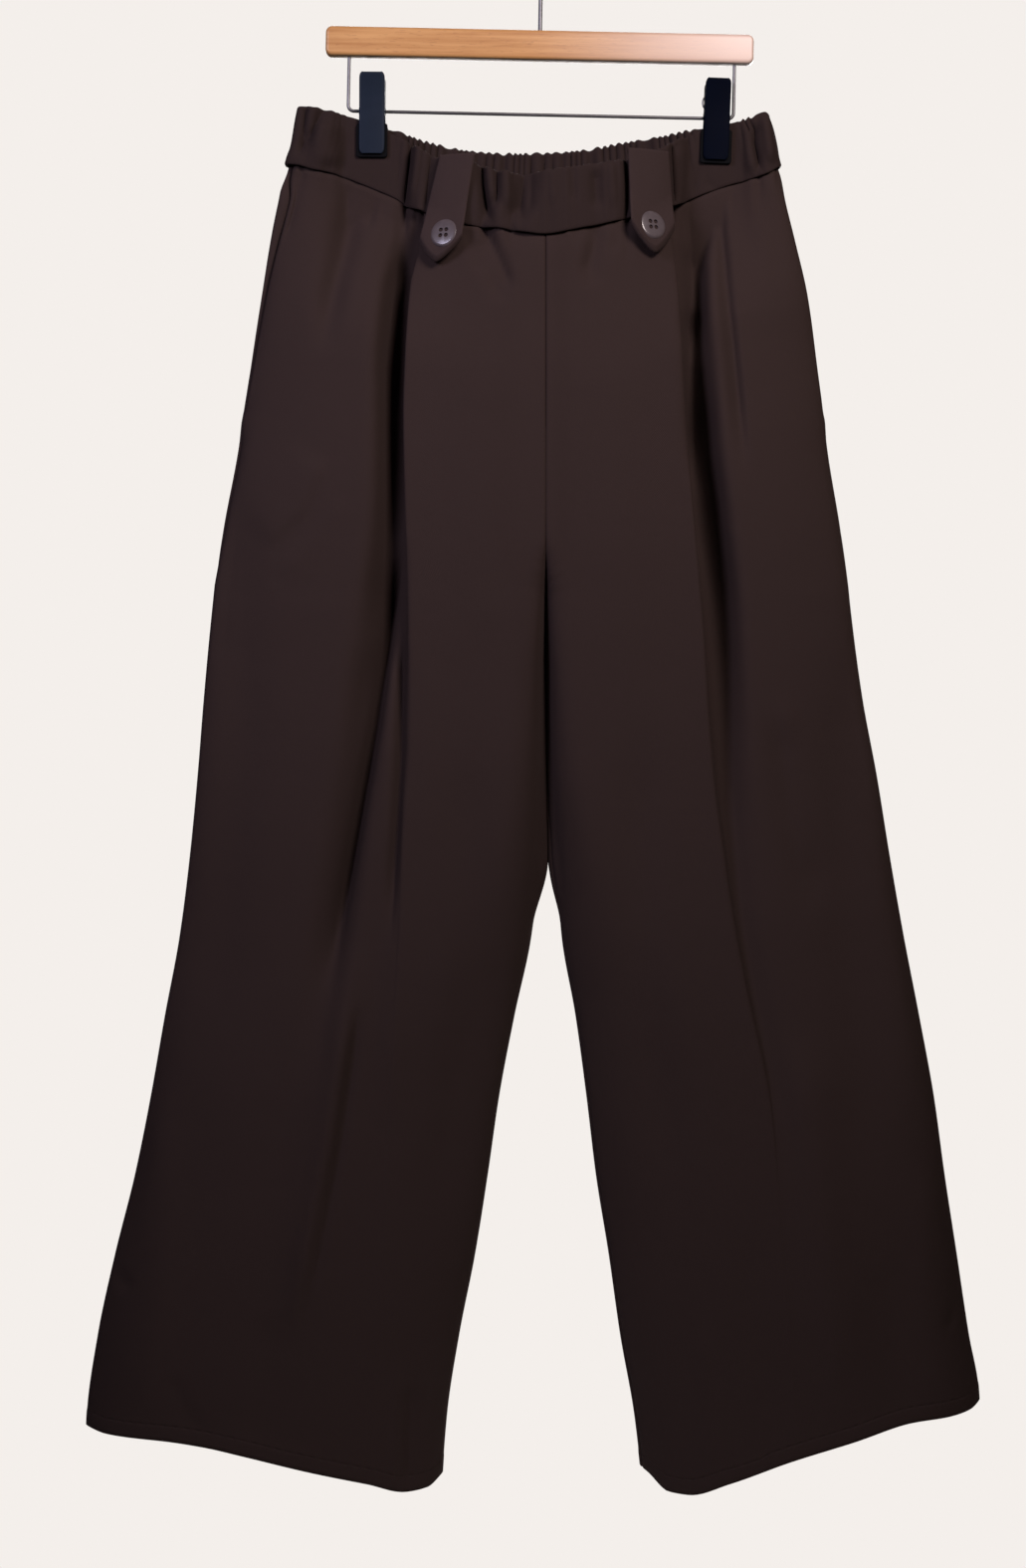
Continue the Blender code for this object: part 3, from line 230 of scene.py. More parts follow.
def read(rows, column, at):
    """A column's value at a place in the table's first column, eased through the rows."""
    d, v = rows[next(iter(rows))], rows[column]
    h = np.diff(d)
    s = np.diff(v) / h
    m = np.zeros(len(d))
    m[0], m[-1] = s[0], s[-1]
    same = s[:-1] * s[1:] > 0
    m[1:-1][same] = 2 * (s[:-1] * s[1:])[same] / (s[:-1] + s[1:])[same]
    at = np.clip(at, d[0], d[-1])
    i = np.clip(np.searchsorted(d, at, side="right") - 1, 0, len(h) - 1)
    t = (at - d[i]) / h[i]
    return (
        (2 * t**3 - 3 * t**2 + 1) * v[i]
        + (t**3 - 2 * t**2 + t) * h[i] * m[i]
        + (3 * t**2 - 2 * t**3) * v[i + 1]
        + (t**3 - t**2) * h[i] * m[i + 1]
    )


def ease(t):
    t = np.clip(t, 0.0, 1.0)
    return t * t * (3 - 2 * t)


def waist_edge(x, down):
    """1 in the middle of the waist, rounding to 0 at its two side ends."""
    side = np.where(x < CENTRE_X, read(SIDE_RIGHT, "x", down), read(SIDE_LEFT, "x", down))
    across = np.clip(np.abs((x - CENTRE_X) / (side - CENTRE_X)), 0, 1)
    return np.sqrt(1 - across**24)


def waist_fwd(x, down, face):
    """How far the middle of the waistband, or the cloth sewn to it, stands forward: face is 1 in front, -1 behind."""
    return face * (FLAT + (read(WAIST_FRONT if face > 0 else WAIST_BACK, "fwd", x) - FLAT) * waist_edge(x, down))


def half_ring(leg, down, face):
    """The front or back line of one half at a height, from the inner edge to the side, as many (x, fwd) points."""
    xi, xs = read(leg["inner"], "x", down), read(leg["side"], "x", down)
    deep = read(BODY, "front" if face > 0 else "back", down)
    corner = read(leg["inner"], "corner" if face > 0 else "corner_back", down)
    start = J_FRONT if face > 0 else J_BACK
    turned = np.clip((down - start) / (CROTCH - start), 0, 1)
    xi += leg["out"] * (CLOTH / 2 + SEAM) * ease((down - start + 14) / 22)
    first = math.asin(min(1.0, 1 - turned**2))
    a = np.linspace(first, math.pi / 2, 60)
    x = xi + leg["out"] * corner * (math.cos(first) - np.cos(a))
    f = deep * np.sin(a)
    b = np.linspace(0, math.pi / 2, 160)[1:]
    x = np.concatenate([x, x[-1] + (xs - x[-1]) * np.sin(b)])
    f = np.concatenate([f, FLAT + (deep - FLAT) * np.abs(np.cos(b)) ** SIDE_ROUND])
    seam = read(WAIST_FRONT if face > 0 else WAIST_BACK, "bottom", x)
    hold = 1 - ease((down - seam) / RELEASE)
    f = (1 - hold) * f * face + hold * waist_fwd(x, np.full_like(x, down), face)
    return np.stack([np.append(x, x[-1]), np.append(f, 0.0)], 1)


def spaced(points, fractions, start=0, end=0):
    """Points at those fractions of a line's length, after and before short steps at a sewn start or end."""
    run = np.concatenate([[0], np.cumsum(np.linalg.norm(np.diff(points, axis=0), axis=1))])
    at = np.asarray(fractions) * run[-1]
    if start:
        at = np.concatenate([SEWN_STEPS, at])
    if end:
        at = np.concatenate([at, run[-1] - SEWN_STEPS[::-1]])
    return np.stack([np.interp(at, run, points[:, k]) for k in (0, 1)], 1)


def cut(points, start, end):
    """The stretch of a line from one distance along it to another."""
    run = np.concatenate([[0], np.cumsum(np.linalg.norm(np.diff(points, axis=0), axis=1))])
    inside = (run > start) & (run < end)
    ends = [np.array([[np.interp(s, run, points[:, k]) for k in (0, 1)]]) for s in (start, end)]
    return np.concatenate([ends[0], points[inside], ends[1]])


def panel_line(leg, down, face):
    """The line of one panel at a height, with its seams moved round the edge, from its inner seam to its side seam."""
    front, back = half_ring(leg, down, 1), half_ring(leg, down, -1)
    length = [float(np.linalg.norm(np.diff(p, axis=0), axis=1).sum()) for p in (front, back)]
    side, inner = read(leg["shift"], "side", down), read(leg["shift"], "inner", down)
    loop = np.concatenate([front, back[::-1][1:]])
    if inner < -0.01:
        loop = np.concatenate([back[::-1], front[1:], back[::-1][1:]])
        start, total = length[1] + inner, 2 * length[1] + length[0]
        seam, end = length[1] + length[0] - side, total + inner
    else:
        start, seam, end = inner, length[0] - side, sum(length)
        if inner > 0.01:
            loop = np.concatenate([loop, front[1:]])
            end = sum(length) + inner
    closed = SEAM / 2 if down >= CROTCH - 1 else 0.0
    if face > 0:
        return cut(loop, start + closed, seam - SEAM / 2)
    return cut(loop, seam + SEAM / 2, end - closed)[::-1]


SEWN_STEPS = np.array([0.0, 1.1, 2.4])
INNER_STEPS = (0.04, 0.09, 0.15, 0.22, 0.3, 0.4, 0.5, 0.62, 0.74, 0.87)
OUTER_STEPS = (0.12, 0.28, 0.44, 0.6, 0.75, 0.88)
BACK_STEPS = (0.02, 0.05, 0.09, 0.14, 0.2, 0.27, 0.35, 0.45, 0.56, 0.67, 0.78, 0.88, 0.95)


def pleat_controls(leg, down, line):
    """The points that carry a front panel's section: plain cloth, the pleat's folds, plain cloth to the side."""
    p = {name: float(read(leg["pleat"], name, down)) for name in leg["pleat"] if name != "down"}
    out, u, h, q, m, s = leg["out"], p["under"], p["gap"], p["sunk"], p["mouth"], p["step"]
    folded = np.array(
        [(-8, 0), (-1, 0.3), (0.6, 0), (0.6, -h), (-u * 0.45, -h), (-u, -h), (-u, -2 * h), (-u * 0.45, -2 * h - 0.6 * q),
         (1.5, -2 * h - q), (m * 0.62, -2 * h - 0.96 * q), (m * 0.96, -h - 0.55 * q), (m + 6, 0)], float)
    soft = np.array(
        [(-8, 0), (-1.5, 0.05 * s), (0.4, -0.15 * s), (1.0, -0.45 * s), (1.8, -0.72 * s), (3, -0.9 * s), (5, -s), (8, -s),
         (m * 0.9, -0.86 * s), (m + 3, -0.6 * s), (m + 9, -0.25 * s), (m + 22, 0)], float)
    offset = folded + (soft - folded) * p["open"]
    pick = np.argmax(out * line[:, 0] > out * line[0, 0] + 0.5)
    mono = line[pick:]
    order = np.argsort(out * mono[:, 0])
    across = out * mono[order, 0]
    here = out * p["x"] + offset[:, 0]
    fwd = np.interp(here, across, mono[order, 1]) + offset[:, 1]
    fold = np.stack([out * here, fwd], 1)
    run = np.concatenate([[0], np.cumsum(np.linalg.norm(np.diff(line, axis=0), axis=1))])
    crown = int(np.argmax(out * line[:, 0] > out * p["x"] - 8))
    after = int(np.argmax(out * line[:, 0] > here[-1]))
    inner = spaced(cut(line, 0, run[crown]), INNER_STEPS, start=1)
    outer = spaced(cut(line, run[after], run[-1]), OUTER_STEPS, end=1)
    return np.concatenate([inner, fold, outer])


def bspline(controls, at):
    """Points on the smooth curve that the controls carry, at places counted in controls. controls is (level, n, 2)."""
    first, last = 2 * controls[:, :1] - controls[:, 1:2], 2 * controls[:, -1:] - controls[:, -2:-1]
    p = np.concatenate([first, controls, last], 1)
    i = np.clip(at.astype(int), 0, controls.shape[1] - 2)
    t = (at - i)[None, :, None]
    return (
        (1 - t) ** 3 * p[:, i] + (3 * t**3 - 6 * t**2 + 4) * p[:, i + 1]
        + (-3 * t**3 + 3 * t**2 + 3 * t + 1) * p[:, i + 2] + t**3 * p[:, i + 3]
    ) / 6


def crease_rise(rows, x, down):
    """How far the creases lift the cloth at a place seen from the front."""
    rise = np.zeros_like(x)
    for k in range(len(rows["rise"])):
        path = [np.array([rows[f"x{i}"][k], rows[f"down{i}"][k]]) for i in range(3)]
        best, side, along = np.full_like(x, 1e9), np.zeros_like(x), np.zeros_like(x)
        for i in (0, 1):
            d = path[i + 1] - path[i]
            t = np.clip(((x - path[i][0]) * d[0] + (down - path[i][1]) * d[1]) / (d @ d), 0, 1)
            dx, dd = x - path[i][0] - t * d[0], down - path[i][1] - t * d[1]
            far = np.hypot(dx, dd)
            near = far < best
            best, side, along = np.where(near, far, best), np.where(near, dx, side), np.where(near, (i + t) / 2, along)
        wide = np.where(side < 0, rows["wide_right"][k], rows["wide_left"][k])
        rise += rows["rise"][k] * np.exp(-((best / wide) ** 2)) * ease(along * 5) * ease((1 - along) * 4)
    return rise


LEVELS = np.arange(186.0, 1242.0, 4.0)
UPPER = (0, 0.07, 0.16, 0.27, 0.4, 0.54, 0.68, 0.8, 0.87, 0.92, 0.96, 0.985, 1)
LOWER = (0.07, 0.17, 0.29, 0.42, 0.55, 0.68, 0.8, 0.9, 0.97, 1)


def leg_panel(leg, face, columns=None, upper=UPPER, lower=LOWER):
    """A grid of points on the middle of one leg panel, rows from the waist seam to the hem."""
    carry = []
    for down in LEVELS:
        line = panel_line(leg, down, face)
        carry.append(pleat_controls(leg, down, line) if face > 0 else spaced(line, BACK_STEPS, 1, 1))
    carry = np.array(carry)
    at = np.arange(carry.shape[1], dtype=float) if columns is None else columns
    section = bspline(carry, at)
    count = range(section.shape[1])
    waist, hem = np.full(len(count), 222.0), np.full(len(count), 1190.0)
    for _ in range(6):
        x_top = np.array([np.interp(waist[c], LEVELS, section[:, c, 0]) for c in count])
        x_hem = np.array([np.interp(hem[c], LEVELS, section[:, c, 0]) for c in count])
        waist = 0.5 * waist + 0.5 * (read(WAIST_FRONT if face > 0 else WAIST_BACK, "bottom", x_top) + 3.4 * SEAM)
        hem = read(leg["hem"], "down", x_hem)
    down = [waist + (CROTCH - waist) * a for a in upper] + [CROTCH + (hem - CROTCH) * b for b in lower]
    down = np.array(down)
    x, f = np.empty_like(down), np.empty_like(down)
    for c in range(down.shape[1]):
        x[:, c] = np.interp(down[:, c], LEVELS, section[:, c, 0])
        f[:, c] = np.interp(down[:, c], LEVELS, section[:, c, 1])
    edge = np.minimum(1, np.abs(x - read(leg["side"], "x", down)) / 14) * np.minimum(1, np.abs(x - read(leg["inner"], "x", down)) / 10)
    f += face * crease_rise(CREASES if face > 0 else CREASES_BACK, x, down) * ease(edge)
    return np.stack([x, f, down], 2)


def gather_rise(x, down, top, bottom):
    """How far the waistband's gathers lift it."""
    up = (bottom - down) / (bottom - top)
    rise = np.zeros_like(x)
    for k in range(len(GATHERS["x"])):
        middle = GATHERS["x"][k] + (GATHERS["top_x"][k] - GATHERS["x"][k]) * up
        rise += GATHERS["rise"][k] * np.exp(-(((x - middle) / GATHERS["wide"][k]) ** 2))
    for k in range(2):
        rise *= ease((np.abs(x - CLIPS["x"][k]) - 14) / 9)
    return rise


def waist_line(face, columns):
    """x along the waistband, evenly round its curve, closing up to short steps at its side ends."""
    t = np.linspace(-1, 1, 801)
    side = np.where(t < 0, CENTRE_X - read(SIDE_RIGHT, "x", 175.0), read(SIDE_LEFT, "x", 175.0) - CENTRE_X)
    x = CENTRE_X + side * np.sin(t * math.pi / 2)
    x, plain = np.concatenate([x[:1], x, x[-1:]]), np.concatenate([[0.0], np.ones(len(x)), [0.0]])
    line = np.stack([x, waist_fwd(x, np.full_like(x, 175.0), face) * plain, plain], 1)
    run = np.concatenate([[0], np.cumsum(np.linalg.norm(np.diff(line[:, :2], axis=0), axis=1))])
    return [np.interp(np.asarray(columns) * run[-1], run, line[:, k]) for k in (0, 2)]


def waistband(face, columns, rows):
    rows_of = WAIST_FRONT if face > 0 else WAIST_BACK
    x175, plain = waist_line(face, columns)
    side = np.where(x175 < CENTRE_X, read(SIDE_RIGHT, "x", 175.0), read(SIDE_LEFT, "x", 175.0))
    across = (x175 - CENTRE_X) / (side - CENTRE_X)
    grid = []
    for r in rows:
        x = x175
        for _ in range(3):
            top, bottom = read(rows_of, "top", x), read(rows_of, "bottom", x)
            down = bottom + (top - bottom) * r
            edge = np.where(x175 < CENTRE_X, read(SIDE_RIGHT, "x", down), read(SIDE_LEFT, "x", down))
            x = CENTRE_X + across * (edge - CENTRE_X)
        f = waist_fwd(x, down, face) * plain
        if face > 0:
            f = f + gather_rise(x, down, top, bottom) * np.minimum(1, f / 6)
        f = f + face * SEAM / 2
        grid.append(np.stack([x, f, down], 1))
    return np.array(grid)

# ---------------------------------------------------------------- finer folds

# Soft folds of the fronts, finer than the solid's: a path through three places, how wide each flank is, and the rise.
FOLDS = table(
    "x0 down0 x1 down1 x2 down2 wide_right wide_left rise",
    # under the waistband
    (-48, 238, -36, 266, -24, 298, 2.6, 5.0, -4.4),
    (-58, 246, -54, 262, -48, 285, 3.5, 4.0, -1.6),
    (41, 238, 39, 262, 32, 286, 5.0, 5.0, -3.0),
    (60, 240, 58, 252, 54, 268, 4.0, 3.0, -1.4),
    (-145, 200, -154, 250, -172, 350, 9.0, 10.0, -6.5),
    (-112, 214, -113, 290, -114, 400, 8.0, 5.0, -4.0),
    (-133, 208, -134, 222, -136, 244, 3.0, 4.0, -3.0),
    (-121, 219, -117, 236, -118, 262, 3.0, 4.0, 1.6),
    (-188, 192, -196, 218, -204, 254, 6.0, 7.0, -2.6),
    (134, 196, 123, 268, 119, 350, 10.0, 5.5, -18.0),
    (119, 300, 117, 350, 120, 450, 8.0, 6.0, -9.0),
    (138, 198, 145, 310, 158, 440, 8.0, 3.2, -6.5),
    (170, 204, 178, 240, 186, 290, 6.0, 7.0, -0.8),
    # thighs and knees
    (-168, 420, -190, 462, -222, 492, 24, 7, 2.2),
    (-150, 452, -178, 486, -206, 520, 8, 14, 1.0),
    (-110, 480, -134, 640, -179, 930, 17, 9, -9.0),
    (-107, 556, -108, 650, -118, 806, 6.0, 2.8, -8.0),
    (-109, 490, -128, 630, -166, 840, 6.0, 3.2, -13.5),
    (-88, 560, -92, 700, -104, 860, 14, 12, 1.2),
    (-40, 330, -42, 450, -44, 590, 26, 26, 1.2),
    (52, 330, 56, 450, 58, 600, 26, 26, 1.2),
    (186, 600, 196, 680, 206, 760, 5, 9, 1.2),
    (236, 505, 240, 530, 246, 560, 4, 5, 1.4),
    (-252, 560, -262, 680, -276, 800, 10, 14, 1.2),
    (262, 700, 276, 820, 290, 940, 14, 10, 1.2),
    # calves and hem
    (-141, 840, -158, 955, -188, 1110, 2.4, 6.0, -4.2),
    (-149, 840, -166, 955, -196, 1110, 8.0, 4.0, 3.2),
    (-104, 1136, -105, 1180, -106, 1226, 2.2, 9.0, -2.6),
    (-112, 1130, -113, 1180, -115, 1226, 5.0, 2.0, 1.2),
    (-288, 1128, -274, 1156, -261, 1178, 9, 5, -1.2),
    (-336, 1050, -328, 1062, -318, 1068, 5, 6, -2.2),
    (324, 1076, 318, 1090, 312, 1102, 5, 6, -1.8),
    (160, 1010, 172, 1100, 182, 1196, 14, 12, -1.4),
    (262, 1040, 268, 1110, 276, 1180, 16, 14, -1.2),
    (-210, 1080, -214, 1140, -220, 1190, 14, 16, -1.2),
    (122, 1090, 126, 1150, 128, 1206, 8, 10, 1.2),
)
FOLDS_BACK = table(
    "x0 down0 x1 down1 x2 down2 wide_right wide_left rise",
    (-150, 208, -158, 260, -166, 330, 5, 7, -1.6),
    (150, 208, 160, 262, 170, 335, 6, 5, -1.6),
    (-118, 216, -112, 262, -104, 320, 4, 6, -1.4),
    (120, 214, 114, 262, 104, 322, 5, 4, -1.4),
    (-40, 226, -38, 262, -34, 300, 5, 5, -1.0),
    (42, 226, 40, 258, 36, 296, 5, 5, -1.0),
    (-18, 470, -60, 520, -112, 556, 8, 10, -2.0),
    (22, 472, 66, 524, 120, 566, 10, 8, -2.0),
    (-30, 520, -70, 580, -120, 640, 8, 10, -1.4),
    (34, 524, 76, 590, 126, 660, 10, 8, -1.4),
    (-172, 760, -182, 900, -200, 1040, 9, 14, -1.6),
    (180, 760, 190, 900, 212, 1040, 14, 9, -1.6),
    (-300, 1000, -306, 1090, -312, 1180, 16, 14, 1.6),
    (296, 1000, 300, 1090, 306, 1160, 14, 16, 1.6),
    (-110, 1060, -116, 1140, -120, 1210, 12, 10, -1.8),
    (116, 1060, 124, 1140, 128, 1200, 12, 10, -1.8),
)

# Gathers and puckers of the front of the waistband.
FOLDS_BAND = table(
    "x0 down0 x1 down1 x2 down2 wide_right wide_left rise",
    (-101, 160, -103, 190, -109, 232, 3.0, 2.4, -10.0),
    (-96, 168, -98, 196, -103, 226, 2.6, 2.6, 4.0),
    (-84, 176, -88, 204, -91, 240, 4.0, 6.0, -5.0),
    (-50, 184, -46, 212, -39, 246, 4.6, 3.4, -10.0),
    (-42, 192, -41, 212, -38, 230, 2.0, 2.0, 4.5),
    (-38, 182, -35, 206, -36, 236, 3.0, 3.0, -9.0),
    (-29, 188, -28, 210, -26, 238, 3.2, 3.2, 4.5),
    (-10, 186, -13, 214, -20, 246, 10.0, 8.0, -13.0),
    (-9, 196, -11, 218, -14, 240, 3.0, 3.0, 2.4),
    (-9, 198, -8, 216, -8, 240, 3.0, 4.0, -2.2),
    (6, 200, 7, 214, 8, 232, 3.0, 3.0, 1.4),
    (22, 198, 23, 212, 24, 230, 2.6, 3.4, -1.6),
    (41, 202, 41, 216, 42, 234, 5.0, 5.0, -3.6),
    (52, 196, 53, 212, 54, 232, 3.4, 3.4, 1.6),
    (63, 184, 65, 208, 66, 240, 2.8, 2.4, -7.0),
    (100, 174, 101, 200, 103, 230, 2.2, 2.2, -7.0),
    (124, 204, 135, 209, 150, 214, 3.0, 3.0, -6.0),
    (107, 176, 109, 198, 112, 222, 4.0, 5.0, 2.4),
    (127, 192, 130, 203, 133, 216, 2.5, 2.5, -3.0),
    (125, 184, 122, 200, 119, 218, 2.5, 3.0, -3.4),
    (151, 160, 151, 180, 148, 204, 3.0, 2.5, -5.0),
    (158, 158, 160, 178, 164, 202, 3.6, 3.6, 4.0),
    (167, 158, 166, 176, 171, 200, 2.6, 2.6, -5.0),
    (174, 154, 176, 172, 179, 194, 3.6, 3.6, 4.6),
    (182, 158, 186, 176, 190, 198, 3.0, 3.0, -3.0),
    (-134, 200, -133, 209, -132, 218, 2.4, 2.4, -3.0),
    (-152, 166, -154, 184, -158, 202, 3.0, 4.0, -2.2),
    (-168, 142, -176, 160, -188, 184, 3.4, 4.0, -6.0),
    (-168, 158, -168, 176, -166, 196, 9.0, 9.0, 5.0),
    (-184, 142, -186, 166, -189, 190, 3.4, 3.0, -5.0),
)

HEM_DEEP = 12.0  # turned-up hem, from its stitches to its edge
ALLOWANCE = 3.2  # how far the cloth turns in at a seam


def fine(counts):
    """Places along a section, counted in its controls, with that many steps between each two."""
    return np.concatenate([np.linspace(i, i + 1, n, endpoint=False) for i, n in enumerate(counts)] + [[len(counts)]])


FRONT_AT = fine((1, 1, 1, 2, 2, 2, 3, 3, 3, 4, 4, 4, 4, 4, 3, 3, 4, 4, 3, 4, 5, 5, 5, 6, 5, 7, 7, 7, 7, 6, 4, 1, 1))
BACK_AT = fine((1, 1, 1, 2, 2, 3, 3, 4, 5, 5, 6, 7, 7, 6, 5, 3, 1, 1))


def world(grid):
    return np.stack([grid[..., 0], -grid[..., 1], -grid[..., 2]], -1)


def outward(p, out):
    """Unit normals of a grid of points, on the side that out says."""
    du = np.gradient(p, axis=1)
    dv = np.gradient(p, axis=0)
    n = np.cross(du, dv) * out
    return n / np.maximum(np.linalg.norm(n, axis=2, keepdims=True), 1e-9)


def unit(v):
    return v / np.maximum(np.linalg.norm(v, axis=-1, keepdims=True), 1e-9)


def wave(u, pitch, seed):
    """Uneven ripples: -1 to 1 along u, about that far apart."""
    turn = u / pitch + 0.34 * np.sin(u / 6.6 + seed) + 0.22 * np.sin(u / 3.7 + 2.1 * seed) + 0.12 * np.sin(u / 15.1 + 0.7 * seed)
    return np.sin(2 * math.pi * turn) * (0.78 + 0.22 * np.sin(u / 11.3 + 1.7 * seed))


def arc_length(p, axis):
    step = np.linalg.norm(np.diff(p, axis=axis), axis=2)
    zero = np.zeros_like(np.take(step, [0], axis=axis))
    return np.concatenate([zero, np.cumsum(step, axis=axis)], axis=axis)


def mesh_of(name, points, quads, uv=None, finish=None):
    mesh = bpy.data.meshes.new(name)
    mesh.from_pydata((points * MM).tolist(), [], [tuple(int(i) for i in q) for q in quads])
    if uv is not None:
        layer = mesh.uv_layers.new(name="cloth")
        corner = np.zeros(len(mesh.loops), np.int32)
        mesh.loops.foreach_get("vertex_index", corner)
        layer.data.foreach_set("uv", uv[corner].astype(np.float32).ravel())
    mesh.shade_smooth()
    o = bpy.data.objects.new(name, mesh)
    bpy.context.scene.collection.objects.link(o)
    if finish:
        mesh.materials.append(finish)
    return o


def grid_quads(rows, columns, flip=False, loop=False):
    i = np.arange(rows * columns).reshape(rows, columns)
    if loop:
        i = np.concatenate([i, i[:1]])
    q = np.stack([i[:-1, :-1], i[:-1, 1:], i[1:, 1:], i[1:, :-1]], -1).reshape(-1, 4)
    return q[:, ::-1] if flip else q


def thicken(o, thickness):
    wall = o.modifiers.new("wall", "SOLIDIFY")
    wall.thickness = thickness * MM
    wall.offset = 0
    return o


# ---------------------------------------------------------------- finishes


class Nodes:
    """Short names for building a material's nodes."""

    def __init__(self, name):
        self.material = bpy.data.materials.new(name)
        self.material.use_nodes = True
        self.tree = self.material.node_tree
        self.shader = self.tree.nodes["Principled BSDF"]

    def add(self, kind, **values):
        node = self.tree.nodes.new(kind)
        for key, value in values.items():
            if key in node.inputs:
                node.inputs[key].default_value = value
            else:
                setattr(node, key, value)
        return node

    def link(self, a, b):
        self.tree.links.new(a, b)

    def set(self, **values):
        for key, value in values.items():
            self.shader.inputs[key.replace("_", " ")].default_value = value

    def math(self, operation, a, b=None, c=None):
        node = self.add("ShaderNodeMath", operation=operation)
        for i, v in enumerate((a, b, c)):
            if v is None:
                continue
            if isinstance(v, (int, float)):
                node.inputs[i].default_value = v
            else:
                self.link(v, node.inputs[i])
        return node.outputs[0]

    def mix(self, share, a, b):
        node = self.add("ShaderNodeMix", data_type="RGBA")
        for socket, v in ((node.inputs[0], share), (node.inputs[6], a), (node.inputs[7], b)):
            if isinstance(v, (int, float, tuple)):
                socket.default_value = v
            else:
                self.link(v, socket)
        return node.outputs[2]

    def bump(self, height, distance, strength=1.0, normal=None):
        node = self.add("ShaderNodeBump", Strength=strength, Distance=distance)
        self.link(height, node.inputs["Height"])
        if normal is not None:
            self.link(normal, node.inputs["Normal"])
        return node.outputs["Normal"]


def cloth(name, light=(0.047, 0.030, 0.027, 1), dark=(0.036, 0.023, 0.0205, 1), hem_stitches=True):
    n = Nodes(name)
    uv = n.add("ShaderNodeUVMap", uv_map="cloth")
    split = n.add("ShaderNodeSeparateXYZ")
    n.link(uv.outputs[0], split.inputs[0])
    u, v = split.outputs[0], split.outputs[1]
    place = n.add("ShaderNodeTexCoord").outputs["Object"]
    # soft unevenness of the dye, and the finer mottle of the crepe yarns
    broad = n.add("ShaderNodeTexNoise", Scale=3.2, Detail=2.0, Roughness=0.5)
    n.link(place, broad.inputs["Vector"])
    mottle = n.add("ShaderNodeTexNoise", Scale=620.0, Detail=3.0, Roughness=0.6)
    n.link(place, mottle.inputs["Vector"])
    share = n.math("ADD", n.math("MULTIPLY", broad.outputs["Fac"], 0.75), n.math("MULTIPLY", mottle.outputs["Fac"], 0.4))
    colour = n.mix(n.math("SUBTRACT", share, 0.1), dark, light)
    # weave: a fine twill, one rib each 0.7 mm
    rib = n.math("SINE", n.math("MULTIPLY", n.math("ADD", u, n.math("MULTIPLY", v, 0.6)), 2 * math.pi / 0.0007))
    pick = n.math("SINE", n.math("MULTIPLY", v, 2 * math.pi / 0.0006))
    weave = n.math("ADD", n.math("MULTIPLY", rib, 0.6), n.math("MULTIPLY", pick, 0.4))
    weave = n.math("ADD", weave, n.math("MULTIPLY", mottle.outputs["Fac"], 1.6))
    normal = n.bump(weave, 0.00009, 0.8)
    # slack in the cloth, a hand's breadth across
    slack = n.add("ShaderNodeTexNoise", Scale=26.0, Detail=2.0, Roughness=0.45)
    n.link(place, slack.inputs["Vector"])
    normal = n.bump(slack.outputs["Fac"], 0.0011, 0.6, normal)
    if hem_stitches:
        # the hem's blind stitches: a faint line with a dimple each 9 mm
        near = n.math("DIVIDE", n.math("SUBTRACT", v, HEM_DEEP * MM), 0.0009)
        line = n.math("EXPONENT", n.math("MULTIPLY", n.math("MULTIPLY", near, near), -1.0))
        dimple = n.math("POWER", n.math("ABSOLUTE", n.math("SINE", n.math("MULTIPLY", u, math.pi / 0.009))), 3.0)
        normal = n.bump(n.math("MULTIPLY", n.math("MULTIPLY", line, n.math("ADD", n.math("MULTIPLY", dimple, 0.8), 0.35)), -1.0), 0.0005, 1.0, normal)
    n.link(colour, n.shader.inputs["Base Color"])
    n.link(normal, n.shader.inputs["Normal"])
    n.set(Roughness=0.86, Sheen_Weight=0.035, Sheen_Roughness=0.4, Sheen_Tint=(0.75, 0.55, 0.5, 1))
    n.shader.inputs["Specular IOR Level"].default_value = 0.13
    return n.material


